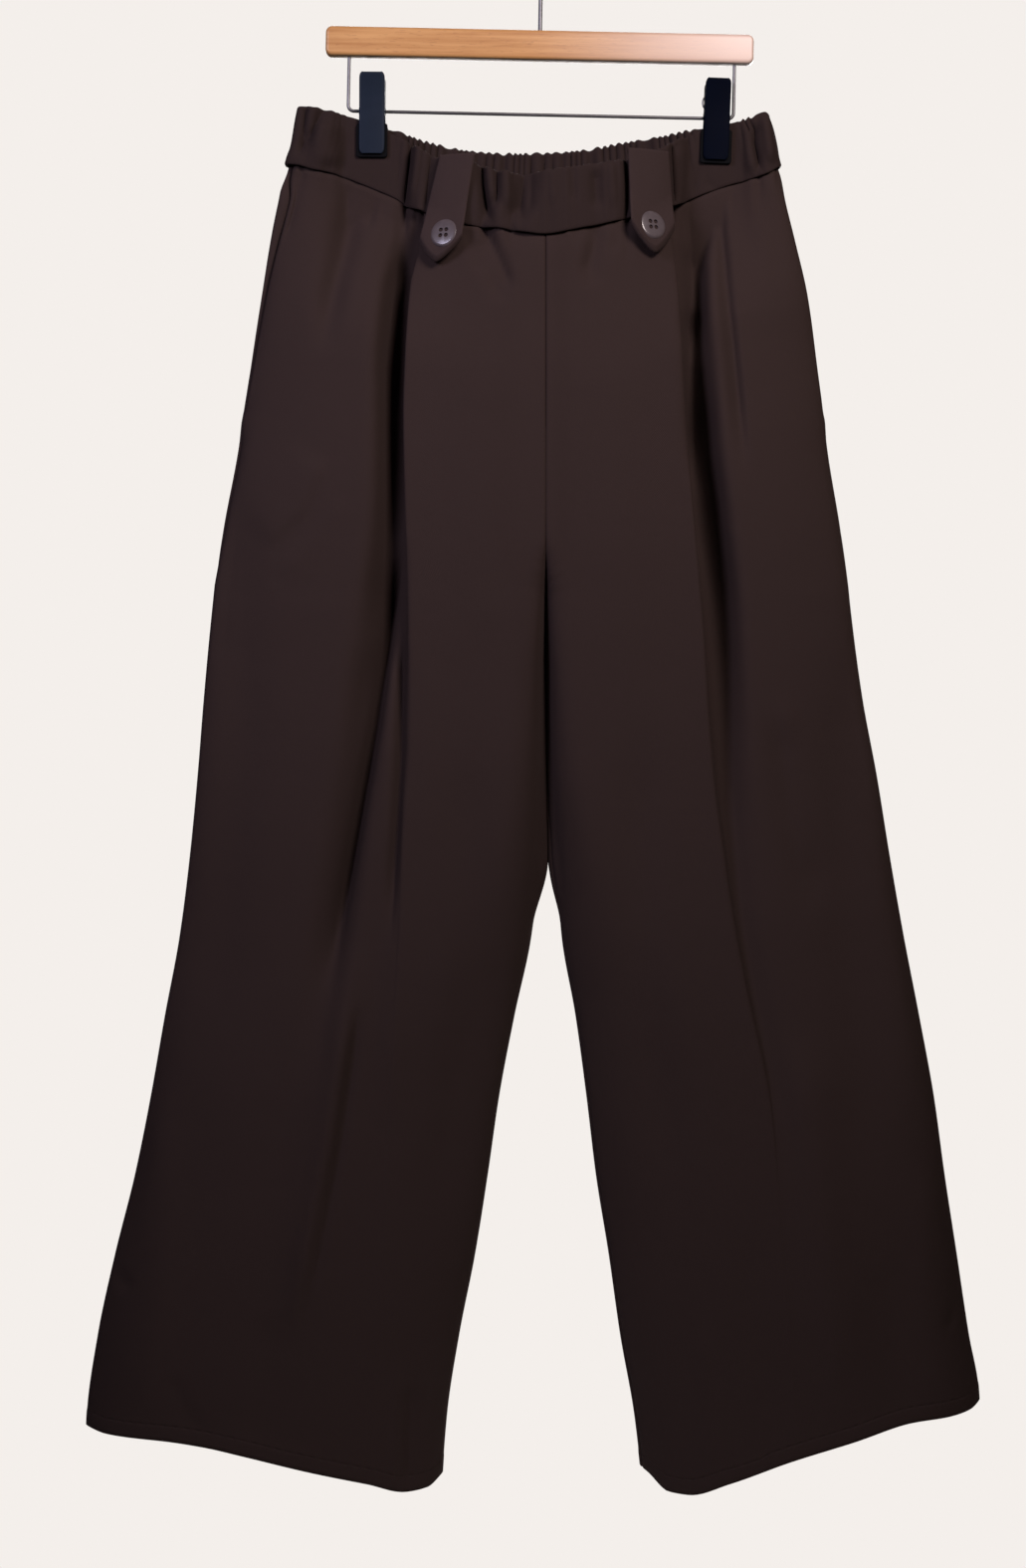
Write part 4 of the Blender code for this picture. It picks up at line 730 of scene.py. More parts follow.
def wood():
    n = Nodes("beech_bar")
    place = n.add("ShaderNodeTexCoord").outputs["Object"]
    stretch = n.add("ShaderNodeMapping")
    stretch.inputs["Scale"].default_value = (2.2, 60.0, 60.0)
    n.link(place, stretch.inputs["Vector"])
    grain = n.add("ShaderNodeTexNoise", Scale=5.0, Detail=5.0, Roughness=0.62, Distortion=0.35)
    n.link(stretch.outputs[0], grain.inputs["Vector"])
    fleck = n.add("ShaderNodeMapping")
    fleck.inputs["Scale"].default_value = (90.0, 900.0, 900.0)
    n.link(place, fleck.inputs["Vector"])
    pores = n.add("ShaderNodeTexNoise", Scale=1.6, Detail=1.0, Roughness=0.5)
    n.link(fleck.outputs[0], pores.inputs["Vector"])
    broad = n.add("ShaderNodeTexNoise", Scale=9.0, Detail=1.0)
    n.link(place, broad.inputs["Vector"])
    ramp = n.add("ShaderNodeValToRGB")
    ramp.color_ramp.elements[0].position, ramp.color_ramp.elements[0].color = 0.30, (0.55, 0.255, 0.080, 1)
    ramp.color_ramp.elements[1].position, ramp.color_ramp.elements[1].color = 0.70, (0.77, 0.42, 0.160, 1)
    n.link(grain.outputs["Fac"], ramp.inputs[0])
    dots = n.add("ShaderNodeMapRange")
    dots.inputs["From Min"].default_value, dots.inputs["From Max"].default_value = 0.62, 0.72
    n.link(pores.outputs["Fac"], dots.inputs["Value"])
    colour = n.mix(n.math("MULTIPLY", dots.outputs[0], 0.35), ramp.outputs[0], (0.34, 0.14, 0.055, 1))
    # painted highlight: the bar is made paler along the wearer's left half, for the lamps' glare on the lacquer
    split = n.add("ShaderNodeSeparateXYZ")
    n.link(place, split.inputs[0])
    along = n.add("ShaderNodeMapRange", interpolation_type="SMOOTHSTEP")
    along.inputs["From Min"].default_value, along.inputs["From Max"].default_value = -0.02, 0.15
    n.link(split.outputs[0], along.inputs["Value"])
    painted_glare = n.math("MULTIPLY", along.outputs[0], n.math("ADD", n.math("MULTIPLY", broad.outputs["Fac"], 0.5), 0.45))
    colour = n.mix(painted_glare, colour, (0.86, 0.70, 0.62, 1))
    n.link(colour, n.shader.inputs["Base Color"])
    n.link(n.bump(grain.outputs["Fac"], 0.0001, 0.5), n.shader.inputs["Normal"])
    n.set(Roughness=0.42, Coat_Weight=0.25, Coat_Roughness=0.22)
    return n.material


def metal(name, colour, roughness):
    n = Nodes(name)
    place = n.add("ShaderNodeTexCoord").outputs["Object"]
    drawn = n.add("ShaderNodeTexNoise", Scale=900.0, Detail=2.0)
    n.link(place, drawn.inputs["Vector"])
    dull = n.add("ShaderNodeTexNoise", Scale=60.0, Detail=3.0)
    n.link(place, dull.inputs["Vector"])
    n.link(n.mix(dull.outputs["Fac"], (*[c * 0.82 for c in colour], 1), (*colour, 1)), n.shader.inputs["Base Color"])
    n.link(n.math("ADD", n.math("MULTIPLY", dull.outputs["Fac"], 0.16), roughness - 0.08), n.shader.inputs["Roughness"])
    n.link(n.bump(drawn.outputs["Fac"], 0.00002, 0.4), n.shader.inputs["Normal"])
    n.set(Metallic=1.0)
    return n.material


def coated(name, colour, roughness, grain=1400.0, depth=0.00004, gloss=0.5):
    """Paint, rubber or moulded plastic with a fine skin."""
    n = Nodes(name)
    place = n.add("ShaderNodeTexCoord").outputs["Object"]
    skin = n.add("ShaderNodeTexNoise", Scale=grain, Detail=2.0)
    n.link(place, skin.inputs["Vector"])
    worn = n.add("ShaderNodeTexNoise", Scale=70.0, Detail=4.0, Roughness=0.6)
    n.link(place, worn.inputs["Vector"])
    n.link(n.mix(worn.outputs["Fac"], (*[c * 0.8 for c in colour], 1), (*[c * 1.2 for c in colour], 1)), n.shader.inputs["Base Color"])
    n.link(n.math("ADD", n.math("MULTIPLY", worn.outputs["Fac"], 0.14), roughness - 0.07), n.shader.inputs["Roughness"])
    n.link(n.bump(skin.outputs["Fac"], depth, 0.5), n.shader.inputs["Normal"])
    n.shader.inputs["Specular IOR Level"].default_value = gloss
    return n.material


def button_finish():
    n = Nodes("button_mauve_brown")
    place = n.add("ShaderNodeTexCoord").outputs["Object"]
    swirl = n.add("ShaderNodeTexNoise", Scale=150.0, Detail=3.0, Distortion=1.2)
    n.link(place, swirl.inputs["Vector"])
    n.link(n.mix(swirl.outputs["Fac"], (0.075, 0.060, 0.064, 1), (0.115, 0.094, 0.099, 1)), n.shader.inputs["Base Color"])
    n.set(Roughness=0.3, Coat_Weight=0.4, Coat_Roughness=0.16)
    return n.material


CLOTH_LEGS = cloth("crepe_legs")
# painted shade: the waistband's crepe is made about a quarter darker than the legs', standing for the self-shadow of
# its fine gathers
BAND_CLOTH_PAINTED_SHADE = cloth("crepe_waistband_painted_shade", light=(0.036, 0.023, 0.021, 1), dark=(0.027, 0.017, 0.0155, 1), hem_stitches=False)
CLOTH_TAB = cloth("crepe_tabs", light=(0.056, 0.037, 0.036, 1), hem_stitches=False)
POCKETING = cloth("pocketing_twill", light=(0.046, 0.031, 0.030, 1), dark=(0.036, 0.024, 0.023, 1), hem_stitches=False)
THREAD = coated("thread_dark_brown", (0.040, 0.026, 0.025), 0.8)
BUTTON_MATERIAL = button_finish()
WOOD = wood()
STEEL = metal("drawn_steel", (0.20, 0.20, 0.21), 0.42)
SPRING_STEEL = metal("spring_steel", (0.24, 0.24, 0.26), 0.36)
# the two clips' plates are one dark navy plastic, painted as lit and shaded copies: the wearer's right plate carries a
# painted reflection, the wearer's left plate painted shade
PLATES = (coated("clip_plate_lit_painted_reflection", (0.0115, 0.019, 0.034), 0.5, gloss=0.1), coated("clip_plate_dark_painted_shade", (0.0012, 0.0026, 0.0085), 0.6, gloss=0.03))
RUBBER = coated("clip_pad_rubber", (0.0016, 0.002, 0.003), 0.75, 2200.0, 0.00006, gloss=0.12)

# ---------------------------------------------------------------- legs


def seam_turn(p, n, out_columns=(True, True), top=True):
    """Rounds the cloth over at its seams and turns its edge in, so that the two edges meet in a fine groove."""
    for last in (False, True):
        if not out_columns[last]:
            continue
        e, b = (-1, -3) if last else (0, 2)
        inward = unit(p[:, b] - p[:, e])
        edge, normal = p[:, e].copy(), n[:, b]
        p[:, e + (-1 if last else 1)] = edge + inward * 1.0 - normal * 0.14
        p[:, e] = edge + inward * 0.42 - normal * 0.72
        extra = (edge + inward * 0.42 - normal * ALLOWANCE)[:, None]
        p = np.concatenate([p, extra] if last else [extra, p], 1)
        n = np.concatenate([n, n[:, -1:]] if last else [n[:, :1], n], 1)
    if top:
        up = unit(p[:1] - p[2:3])
        normal = n[2:3]
        rows = [p[:1] + up * rise - normal * sink for rise, sink in ((7.0, 2.9), (3.0, 2.8), (0.9, 2.2))]
        p = np.concatenate(rows + [p])
    return p


GRIDS = {}


def panel_grid(leg, face):
    if (leg["out"], face) not in GRIDS:
        rows_up = np.linspace(0, 1, 88 if face > 0 else 70)
        rows_low = np.linspace(0, 1, 181 if face > 0 else 150)[1:]
        GRIDS[leg["out"], face] = leg_panel(leg, face, FRONT_AT if face > 0 else BACK_AT, rows_up, rows_low)
    return GRIDS[leg["out"], face]


def behind(leg, x, down):
    """How far forward the back panel lies at a place seen from the front."""
    g = panel_grid(leg, -1)
    levels = g[:, :, 2].mean(1)
    across = np.linspace(-430, 430, 431)
    lines = []
    for row in g:
        order = np.argsort(row[:, 0])
        lines.append(np.interp(across, row[order, 0], row[order, 1]))
    lines = np.array(lines)
    at = np.interp(down, levels, np.arange(len(levels)))
    low = np.minimum(at.astype(int), len(levels) - 2)
    column = np.clip(((x + 430) / 2).round().astype(int), 0, 430)
    return lines[low, column] + (lines[low + 1, column] - lines[low, column]) * (at - low)


FRONTS = {}


def meeting(leg):
    """How far a leg's inner edge has to move over at each level until it meets the other leg's."""
    out = leg["out"]
    middle = (read(INNER_RIGHT, "x", LEVELS) + read(INNER_LEFT, "x", LEVELS)) / 2
    far = {}
    for face in (1, -1):
        p = panel_grid(leg, face)[:, :60:2].reshape(-1, 3)
        edge = np.array([(out * p[np.abs(p[:, 2] - level) < 3, 0]).min(initial=999.0) for level in LEVELS])
        far[face] = edge - out * middle - 0.05 - 0.2 * ease((LEVELS - 524) / 16)
    low = ease((LEVELS - 516) / 14)
    least = np.minimum(far[1], far[-1])
    return {face: np.maximum(0, far[face] + (least - far[face]) * low) * ease((LEVELS - 396) / 20) for face in (1, -1)}


def leg_surface(leg, face):
    g = panel_grid(leg, face)
    x, f, d = g[..., 0], g[..., 1], g[..., 2]
    side = np.abs(x - read(leg["side"], "x", d))
    inner = np.abs(x - read(leg["inner"], "x", d))
    edge = ease(np.minimum(np.minimum(1, side / 14), np.minimum(1, inner / 8)))
    f += face * crease_rise(FOLDS if face > 0 else FOLDS_BACK, x, d) * edge

    # the two halves meet at the centre seam, and lie together from the crotch to the knees
    close = np.interp(d, LEVELS, MEETING[leg["out"]][face]) * (1 - ease((d - 730) / 55))
    low = ease((d - 535) / 60)
    x = x - leg["out"] * close * (1 - low + low * ease((15 - f) / 12)) * ease(1 - (inner - 3) / (8 + 26 * low))
    below = d - d[:1]
    if face < 0:
        run = arc_length(world(g), 1)[:1]
        f += face * wave(run + 31 * (leg["out"] > 0), 6.6, 1.0 + leg["out"]) * 1.3 * np.exp(-((below / 17) ** 1.3)) * ease(below / 6 + 0.15) * edge
    else:
        f += face * (gather_rise(x, d, d[:1] - 45, d[:1] + below) * 0.5 + crease_rise(FOLDS_BAND, x, np.minimum(d, d[:1] - 9)) * 0.7) * np.exp(-((below / 18) ** 1.4)) * edge
    # the cloth is drawn in under the waistband's lower edge
    uneven = 0.35 + 0.65 * ease(0.5 + 0.9 * wave(x + 7 * face, 37.0, 1.3 + face))
    f -= face * (2.6 if face > 0 else 0.8) * uneven * np.exp(-((below / 7.0) ** 1.5)) * np.minimum(1, np.abs(f) / 6)
    if face > 0:
        f = np.maximum(f, behind(leg, x, d) + 4.0 * ease(np.minimum(side, inner) / 22))
    # the pocket mouth lies a little to the front, and a strip of the back panel comes round the side to it
    along = arc_length(world(g), 1)
    to_side = along[:, -1:] - along
    strip = np.interp(d, (180, 190, 215, 300, 385, 392, 410, 480, 520), (4.5, 6.0, 7.0, 5.5, 2.6, 1.0, 4.0, 3.2, 0))
    strip = strip * (1.0 if leg["out"] < 0 else 0.45)
    if face > 0:
        mouth = ease((d - 205) / 15) * ease((388 - d) / 15)
        x = x - leg["out"] * strip * np.exp(-((to_side / 9.0) ** 2))
        f += 2.6 * mouth * np.exp(-((to_side / 7.0) ** 2)) - 1.6 * mouth * np.exp(-((to_side / 1.6) ** 2))
    else:
        x = x - leg["out"] * strip * np.clip(1 - to_side / 7.0, 0, 1) ** 1.5
        f += 0.55 * strip * np.sin(math.pi * np.clip(1 - to_side / 8.0, 0, 1) ** 0.8) - 1.6 * ease(strip / 2) * np.exp(-((to_side / 1.6) ** 2))
    hem = (d[-1:] - d)
    g = np.stack([x, f, d], 2)
    if face > 0:
        FRONTS[leg["out"]] = g.reshape(-1, 3)
    p = world(g)
    sign = -leg["out"] * face
    n = outward(p, sign)
    p += n * (0.32 * ease((HEM_DEEP + 0.8 - hem) / 1.8))[..., None]
    across, along = arc_length(p, 1), arc_length(p[::-1], 0)[::-1]
    uv = np.stack([across * MM, along * MM], 2)
    p = seam_turn(p, n)
    uv = np.pad(uv, ((3, 0), (1, 1), (0, 0)), mode="edge")
    return p, uv, sign


def deeper(rows, side):
    """The pleat's hollow beside its fold, as deep as it hangs in the cloth, flat-bottomed near the waist on one side."""
    made = dict(rows)
    if side > 0:
        made["sunk"] = rows["sunk"] * np.interp(rows["down"], (330, 400, 560, 700), (2.4, 5.6, 5.2, 3.6))
    else:
        made["sunk"] = rows["sunk"] * np.interp(rows["down"], (250, 300, 420, 560), (3.0, 5.8, 5.2, 4.4))
    made["step"] = rows["step"] * 1.45
    made["x"] = rows["x"] + np.interp(rows["down"], (600, 900), (-5.5, 0) if side > 0 else (2.4, 0))
    if side > 0:
        made["mouth"] = rows["mouth"] * np.interp(rows["down"], (200, 340, 420), (1.6, 1.3, 1.1))
    else:
        made["mouth"] = rows["mouth"] * np.interp(rows["down"], (340, 420), (1.5, 1.2))
    return made


def fuller(rows):
    """The thighs' fronts stay full almost to the edge where the legs lie together."""
    made = dict(rows)
    made["corner"] = rows["corner"] * np.interp(rows["down"], (480, 530, 700, 800, 900), (0.6, 0.5, 0.36, 0.62, 1.0))
    return made


RIGHT["pleat"], LEFT["pleat"] = deeper(PLEAT_RIGHT, -1), deeper(PLEAT_LEFT, 1)
RIGHT["inner"], LEFT["inner"] = fuller(INNER_RIGHT), fuller(INNER_LEFT)
MEETING = {leg["out"]: meeting(leg) for leg in (RIGHT, LEFT)}


def leg_piece(name, leg, face, node):
    p, uv, sign = leg_surface(leg, face)
    rows, columns = p.shape[:2]
    o = mesh_of(name, p.reshape(-1, 3), grid_quads(rows, columns, flip=sign < 0), uv.reshape(-1, 2), CLOTH_LEGS)
    thicken(o, CLOTH)
    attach(o, "root")
    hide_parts(node)
    return o


leg_piece("leg_front_right_cloth", RIGHT, 1, "leg_front_right")
leg_piece("leg_front_left_cloth", LEFT, 1, "leg_front_left")
leg_piece("leg_back_right_cloth", RIGHT, -1, "leg_back_right")
leg_piece("leg_back_left_cloth", LEFT, -1, "leg_back_left")

# ---------------------------------------------------------------- waistband


def band_piece(name, face, node):
    """The casing: a front and a back layer about the elastic, one loop of points for each place along the waist."""
    columns = np.linspace(0, 1, 361 if face < 0 else 301)
    rows = np.concatenate([[0, 0.012, 0.035], np.linspace(0.07, 0.93, 15), [0.962, 0.984, 0.996, 1.0]])
    g = waistband(face, columns, rows)
    x, f, d = g[..., 0], g[..., 1].copy(), g[..., 2].copy()
    run = arc_length(world(g), 1)[len(rows) // 2][None, :]
    r = rows[:, None]
    ends = ease(np.minimum(run, run[:, -1:] - run) / 8)
    held = np.ones_like(x)
    for k in range(2):
        held *= ease((np.abs(x - CLIPS["x"][k]) - 13) / 8)
    if face < 0:
        ripple = wave(run, 6.6, 2.0) + 0.25 * np.sin(2 * math.pi * (run / 17.0 + 0.8 * r))
        f += face * ripple * (1.9 + 0.3 * np.cos(math.pi * r)) * (0.2 + 0.8 * ease(r / 0.25)) * held * ends
        d += 1.1 * wave(run + 1.5, 6.6, 2.0) * r**4 * held * ends
    else:
        outer = ease((np.abs(x - CENTRE_X) - 88) / 40)
        ripple = wave(run, 7.8, 0.6) * (0.35 + np.where(x < CENTRE_X, 0.1, 0.75) * outer * r**3)
        f += face * ripple * (0.7 + 0.5 * r) * held * ends
        f += face * crease_rise(FOLDS_BAND, x, d) * np.minimum(1, np.maximum(f, 0) / 5) * (0.35 + 0.65 * held)
        d += (0.5 + np.where(x < CENTRE_X, -0.1, 0.9) * outer) * wave(run + 1.0, 8.6, 0.6) * r**4 * held * ends
    g = np.stack([x, f, d], 2)
    p = world(g)
    n = outward(p, face)
    # fullness: rounded over at the top, proud of the legs at its lower edge
    half = BAND / 2 * np.sqrt(np.clip(1 - np.clip((r - 0.95) / 0.05, 0, 1) ** 2, 0, 1))
    half = half * np.sqrt(np.clip(1 - np.clip((0.03 - r) / 0.03, 0, 1) ** 2 * 0.75, 0, 1))
    half = half + 0.35 * np.sin(math.pi * np.clip(r, 0, 1)) * held * ends
    out = p + n * half[..., None]
    back = p - n * half[..., None]
    loop = np.concatenate([out, back[::-1][1:]])
    v = np.concatenate([d[:1] - d + 60, (d[:1] - d + 130)[::-1][1:]])
    uv = np.stack([np.broadcast_to(run, v.shape) * MM, v * MM], 2)
    rows_all, cols = loop.shape[:2]
    quads = grid_quads(rows_all, cols, flip=face < 0, loop=True)
    points = loop.reshape(-1, 3)
    caps = []
    for c, turn in ((0, 1), (cols - 1, -1)):
        ring = [k * cols + c for k in range(rows_all)]
        for k in range(rows_all // 2):
            a, b = ring[k], ring[(k + 1) % rows_all]
            e, h = ring[rows_all - 1 - k], ring[(rows_all - 2 - k) % rows_all]
            if len({a, b, e, h}) == 4:
                q = (a, b, h, e)
                caps.append(q if (turn * face) > 0 else q[::-1])
    quads = np.concatenate([quads, np.array(caps)])
    o = mesh_of(name, points, quads, uv.reshape(-1, 2), BAND_CLOTH_PAINTED_SHADE)
    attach(o, "root")
    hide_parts(node)
    return o


band_piece("waistband_front_gathered", 1, "waistband_front")
band_piece("waistband_back_gathered", -1, "waistband_back")

# ---------------------------------------------------------------- tabs and buttons


def band_front_fwd(x, down):
    return waist_fwd(x, np.clip(down, 150, 260), 1)


def tab_grid(k, rows=7, columns=7, across=None, along=None):
    """Middle points of a tab, moved out from the waistband's own form."""
    t = {name: TABS[name][k] for name in TABS}
    across = np.linspace(-1, 1, columns) if across is None else across
    along = np.linspace(0, 1, rows) if along is None else along
    grid = []
    for r in along:
        line = []
        for j in across:
            tip = t["low_down"] + 3 + (t["tip_down"] - t["low_down"]) * (1 - abs(j) ** 1.45)
            down = t["top_down"] + (tip - t["top_down"]) * r
            share = (down - t["top_down"]) / (t["low_down"] - t["top_down"])
            middle = t["top_x"] + (t["low_x"] - t["top_x"]) * share
            half = t["top_half"] + (t["low_half"] - t["top_half"]) * min(share, 1.0)
            x = middle + half * j
            line.append((x, float(band_front_fwd(np.array(x), down)), down))
        grid.append(line)
    grid = np.array(grid)
    chord = grid[:, :1, 1] + (grid[:, -1:, 1] - grid[:, :1, 1]) * (grid[:, :, 0] - grid[:, :1, 0]) / (grid[:, -1:, 0] - grid[:, :1, 0])
    grid[:, :, 1] = 0.5 * (grid[:, :, 1] + chord) + np.max(grid[:, :, 1] - chord, axis=1, keepdims=True) * 0.5
    grid[:, :, 1] += BAND / 2 + SEAM + TAB / 2 + 2.2
    return grid


def tab_piece(k, side):
    across = np.sin(np.linspace(-1, 1, 75) * math.pi / 2)
    along = 1 - (1 - np.linspace(0, 1, 111)) ** 1.25
    g = tab_grid(k, across=across, along=along)
    j, r = np.abs(across)[None, :], along[:, None]
    t = {name: TABS[name][k] for name in TABS}
    half = 0.5 * (g[:, -1:, 0] - g[:, :1, 0])
    side_far = half * (1 - j)
    slope = (t["tip_down"] - t["low_down"]) / t["low_half"]
    tip_far = (t["low_down"] + 3 + (t["tip_down"] - t["low_down"]) * (1 - j**1.45) - g[..., 2]) / math.hypot(1, slope)
    far = np.minimum(side_far, tip_far)
    # the sides curl back a little, and the point stands off the cloth
    g[..., 1] += 0.4 - 1.4 * (1 - np.minimum(1, side_far / 9)) ** 2 * (0.6 + 0.4 * r) + 6.6 * ease((r - 0.5) / 0.5)
    g[..., 2] += 1.5 * ease((r - 0.3) / 0.7)
    # the edge of the point is rolled back
    g[..., 1] -= 3.4 * np.clip(1 - tip_far / 3.4, 0, 1) ** 1.3 * ease((r - 0.7) / 0.2)
    p = world(g)
    n = outward(p, 1)
    full = TAB / 2 * np.sqrt(np.clip(1 - (1 - np.clip(far / 1.5, 0, 1)) ** 2, 0, 1))
    face = full + 0.8 * np.exp(-(((far - 1.9) / 1.2) ** 2)) * ease(r * 2) * ease(far / 1.2) - 0.65 * np.exp(-(((far - 3.9) / 0.85) ** 2)) * ease(r * 2)
    face = face + 0.12 * wave(g[..., 2] * 1.0, 5.2, k + 1.0) * np.exp(-(((far - 3.4) / 1.8) ** 2))
    # the thread pulls the button into the cloth, which leaves a groove round it
    ring = np.hypot(g[..., 0] - BUTTON_PLACES["x"][k], g[..., 2] - BUTTON_PLACES["down"][k] - 3.2)
    face = face - 1.2 * np.exp(-(((ring - 12.2) / 0.9) ** 2)) * ease(far / 1.5)
    front, rear = p + n * face[..., None], p - n * full[..., None]
    # over the band's upper edge and down behind it
    lip = []
    for rise, back in ((0.8, 0.3), (1.6, 1.4), (1.9, 2.9), (1.4, 4.4), (0.2, 5.5), (-2.0, 6.0)):
        row = front[0].copy()
        row[:, 2] += rise
        row[:, 1] += back
        lip.append(row)
    front = np.concatenate([np.array(lip[::-1]), front])
    m = len(across)
    top = len(lip)
    loop = np.concatenate([front, rear[::-1]])
    points = loop.reshape(-1, 3)
    quads = list(grid_quads(loop.shape[0], m, loop=True))
    last = (loop.shape[0] - 1) * m
    for c, turn in ((0, 1), (m - 1, -1)):
        quads.append([c + i * m for i in range(top + 1)][::turn] + [last + c] if turn > 0 else [last + c] + [c + i * m for i in range(top + 1)][::-1])
    uv = np.stack([points[:, 0] * MM, points[:, 2] * MM], 1)
    o = mesh_of(f"tab_{side}_folded", points, quads, uv, CLOTH_TAB)
    bm = bmesh.new()
    bm.from_mesh(o.data)
    bmesh.ops.remove_doubles(bm, verts=bm.verts, dist=0.00006)
    bmesh.ops.recalc_face_normals(bm, faces=bm.faces)
    bm.to_mesh(o.data)
    bm.free()
    o.data.shade_smooth()
    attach(o, "root")
    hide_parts(f"tab_{side}")
    # topstitching along the sides and the point
    stitches = []
    path = []
    inset = 3.7
    for s in np.linspace(0.06, 1, 60):
        down = t["top_down"] + (t["low_down"] - t["top_down"]) * s
        middle = t["top_x"] + (t["low_x"] - t["top_x"]) * s
        wide = t["top_half"] + (t["low_half"] - t["top_half"]) * s
        path.append((middle - wide + inset, down))
    path = path[:-4] + [(t["tip_x"], t["tip_down"] - inset * math.hypot(1, slope) / 1.0)] + [(2 * (t["top_x"] + (t["low_x"] - t["top_x"]) * (d0 - t["top_down"]) / (t["low_down"] - t["top_down"])) - x0, d0) for x0, d0 in path[:-4][::-1]]
    path = np.array(path)
    run = np.concatenate([[0], np.cumsum(np.hypot(*np.diff(path, axis=0).T))])
    flat = front[top:].reshape(-1, 3)
    at = np.arange(1.5, run[-1] - 1, 3.1)
    for s in at:
        ends = []
        for e in (s - 1.05, s, s + 1.05):
            x0, d0 = np.interp(e, run, path[:, 0]), np.interp(e, run, path[:, 1])
            near = flat[np.argsort((flat[:, 0] - x0) ** 2 + (flat[:, 2] + d0) ** 2)[:3]]
            ends.append((x0, near[:, 1].mean() - (0.16 if e == s else -0.12), -d0))
        stitches.append(ends)
    stitch_mesh(f"tab_{side}_stitches", stitches, 0.24, THREAD)
    return o, g, n


def stitch_mesh(name, strands, radius, finish):
    """Many short threads as one mesh: a six-sided tube along each list of places."""
    points, quads = [], []
    for strand in strands:
        strand = np.array(strand, float)
        along = unit(np.gradient(strand, axis=0))
        side = unit(np.cross(along, (0.0, 1.0, 0.0)))
        up = np.cross(side, along)
        base = len(points)
        for i, c in enumerate(strand):
            thick = radius * (0.55 if i in (0, len(strand) - 1) else 1.0)
            for a in np.linspace(0, 2 * math.pi, 7)[:-1]:
                points.append(c + thick * (side[i] * math.cos(a) + up[i] * math.sin(a)))
        for i in range(len(strand) - 1):
            for a in range(6):
                b = (a + 1) % 6
                quads.append((base + i * 6 + a, base + i * 6 + b, base + (i + 1) * 6 + b, base + (i + 1) * 6 + a))
        for start, turn in ((base, -1), (base + (len(strand) - 1) * 6, 1)):
            ring = [start + a for a in range(6)]
            ring = ring if turn > 0 else ring[::-1]
            quads += [(ring[0], ring[1], ring[2], ring[3]), (ring[0], ring[3], ring[4], ring[5])]
    o = mesh_of(name, np.array(points), np.array(quads), None, finish)
    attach(o, "root")
    return o


def button_piece(k, side, grid, normals):
    x, down = BUTTON_PLACES["x"][k], BUTTON_PLACES["down"][k] + 3.2
    flat = grid.reshape(-1, 3)
    order = np.argsort(np.hypot(flat[:, 0] - x, flat[:, 2] - down))[:30]
    fwd = flat[order, 1].max()
    normal = Vector(normals.reshape(-1, 3)[np.argsort(np.hypot(flat[:, 0] - x, flat[:, 2] - down))[:200]].mean(0)).normalized()
    profile = (
        (0, 0), (8.8, 0), (10.3, 0.35), (11.1, 1.0), (11.55, 1.9), (11.5, 2.7), (11.1, 3.5), (10.5, 3.95), (9.9, 4.0), (9.3, 3.75),
        (8.95, 3.0), (8.7, 1.6), (8.35, 0.7), (7.7, 0.6), (7.35, 1.3), (7.0, 2.3), (6.5, 2.8), (5.8, 2.75), (4.6, 2.35), (2.6, 2.1), (0, 2.05),
    )
    mesh = bpy.data.meshes.new(f"button_{side}_turned")
    bm = bmesh.new()
    ring = [bm.verts.new((r * MM, 0, h * MM)) for r, h in profile]
    edges = [bm.edges.new(pair) for pair in zip(ring, ring[1:])]
    bmesh.ops.spin(bm, geom=ring + edges, cent=(0, 0, 0), axis=(0, 0, 1), angle=math.tau, steps=72, use_merge=True)
    bmesh.ops.remove_doubles(bm, verts=bm.verts, dist=1e-6)
    bmesh.ops.recalc_face_normals(bm, faces=bm.faces)
    bm.to_mesh(mesh)
    bm.free()
    o = bpy.data.objects.new(f"button_{side}_turned", mesh)
    bpy.context.scene.collection.objects.link(o)
    mesh.materials.append(BUTTON_MATERIAL)
    cutters = []
    for a, b in ((1, 1), (-1, 1), (-1, -1), (1, -1)):
        bm = bmesh.new()
        bmesh.ops.create_cone(bm, cap_ends=True, segments=20, radius1=1.7 * MM, radius2=1.7 * MM, depth=12 * MM,
                              matrix=Matrix.Translation((a * BUTTON_PITCH / 2 * MM, b * BUTTON_PITCH / 2 * MM, 0)))
        drill = bpy.data.meshes.new("drill")
        bm.to_mesh(drill)
        bm.free()
        cutter = bpy.data.objects.new("drill", drill)
        bpy.context.scene.collection.objects.link(cutter)
        cutters.append(cutter)
        hole = o.modifiers.new("hole", "BOOLEAN")
        hole.operation, hole.solver, hole.object = "DIFFERENCE", "EXACT", cutter
    bpy.context.view_layer.update()
    done = bpy.data.meshes.new_from_object(o.evaluated_get(bpy.context.evaluated_depsgraph_get()))
    o.modifiers.clear()
    for cutter in cutters:
        bpy.data.objects.remove(cutter)
    o.data = done
    done.shade_smooth()
    done.set_sharp_from_angle(angle=math.radians(50))
    o.rotation_mode = "QUATERNION"
    turn = normal.to_track_quat("Z", "X")
    o.rotation_quaternion = turn
    middle = Vector((x, -(fwd + TAB / 2 + SEAM + 0.35), -down))
    o.location = middle * MM
    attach(o, "root")
    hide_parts(f"button_{side}")
    # two strands of thread through the four holes
    strands = []
    for b in (-1, 1):
        for shift in (-0.28, 0.28):
            rows = []
            for s in np.linspace(-1, 1, 9):
                local = Vector((b * BUTTON_PITCH / 2 + shift, s * BUTTON_PITCH / 2, 2.5 - 1.9 * abs(s) ** 5))
                rows.append(tuple(middle + turn @ local))
            strands.append(rows)
    stitch_mesh(f"button_{side}_thread", strands, 0.3, THREAD)


for k, side in enumerate(("right", "left")):
    tab, grid, normals = tab_piece(k, side)
    button_piece(k, side, grid, normals)


# ---------------------------------------------------------------- pocket bags


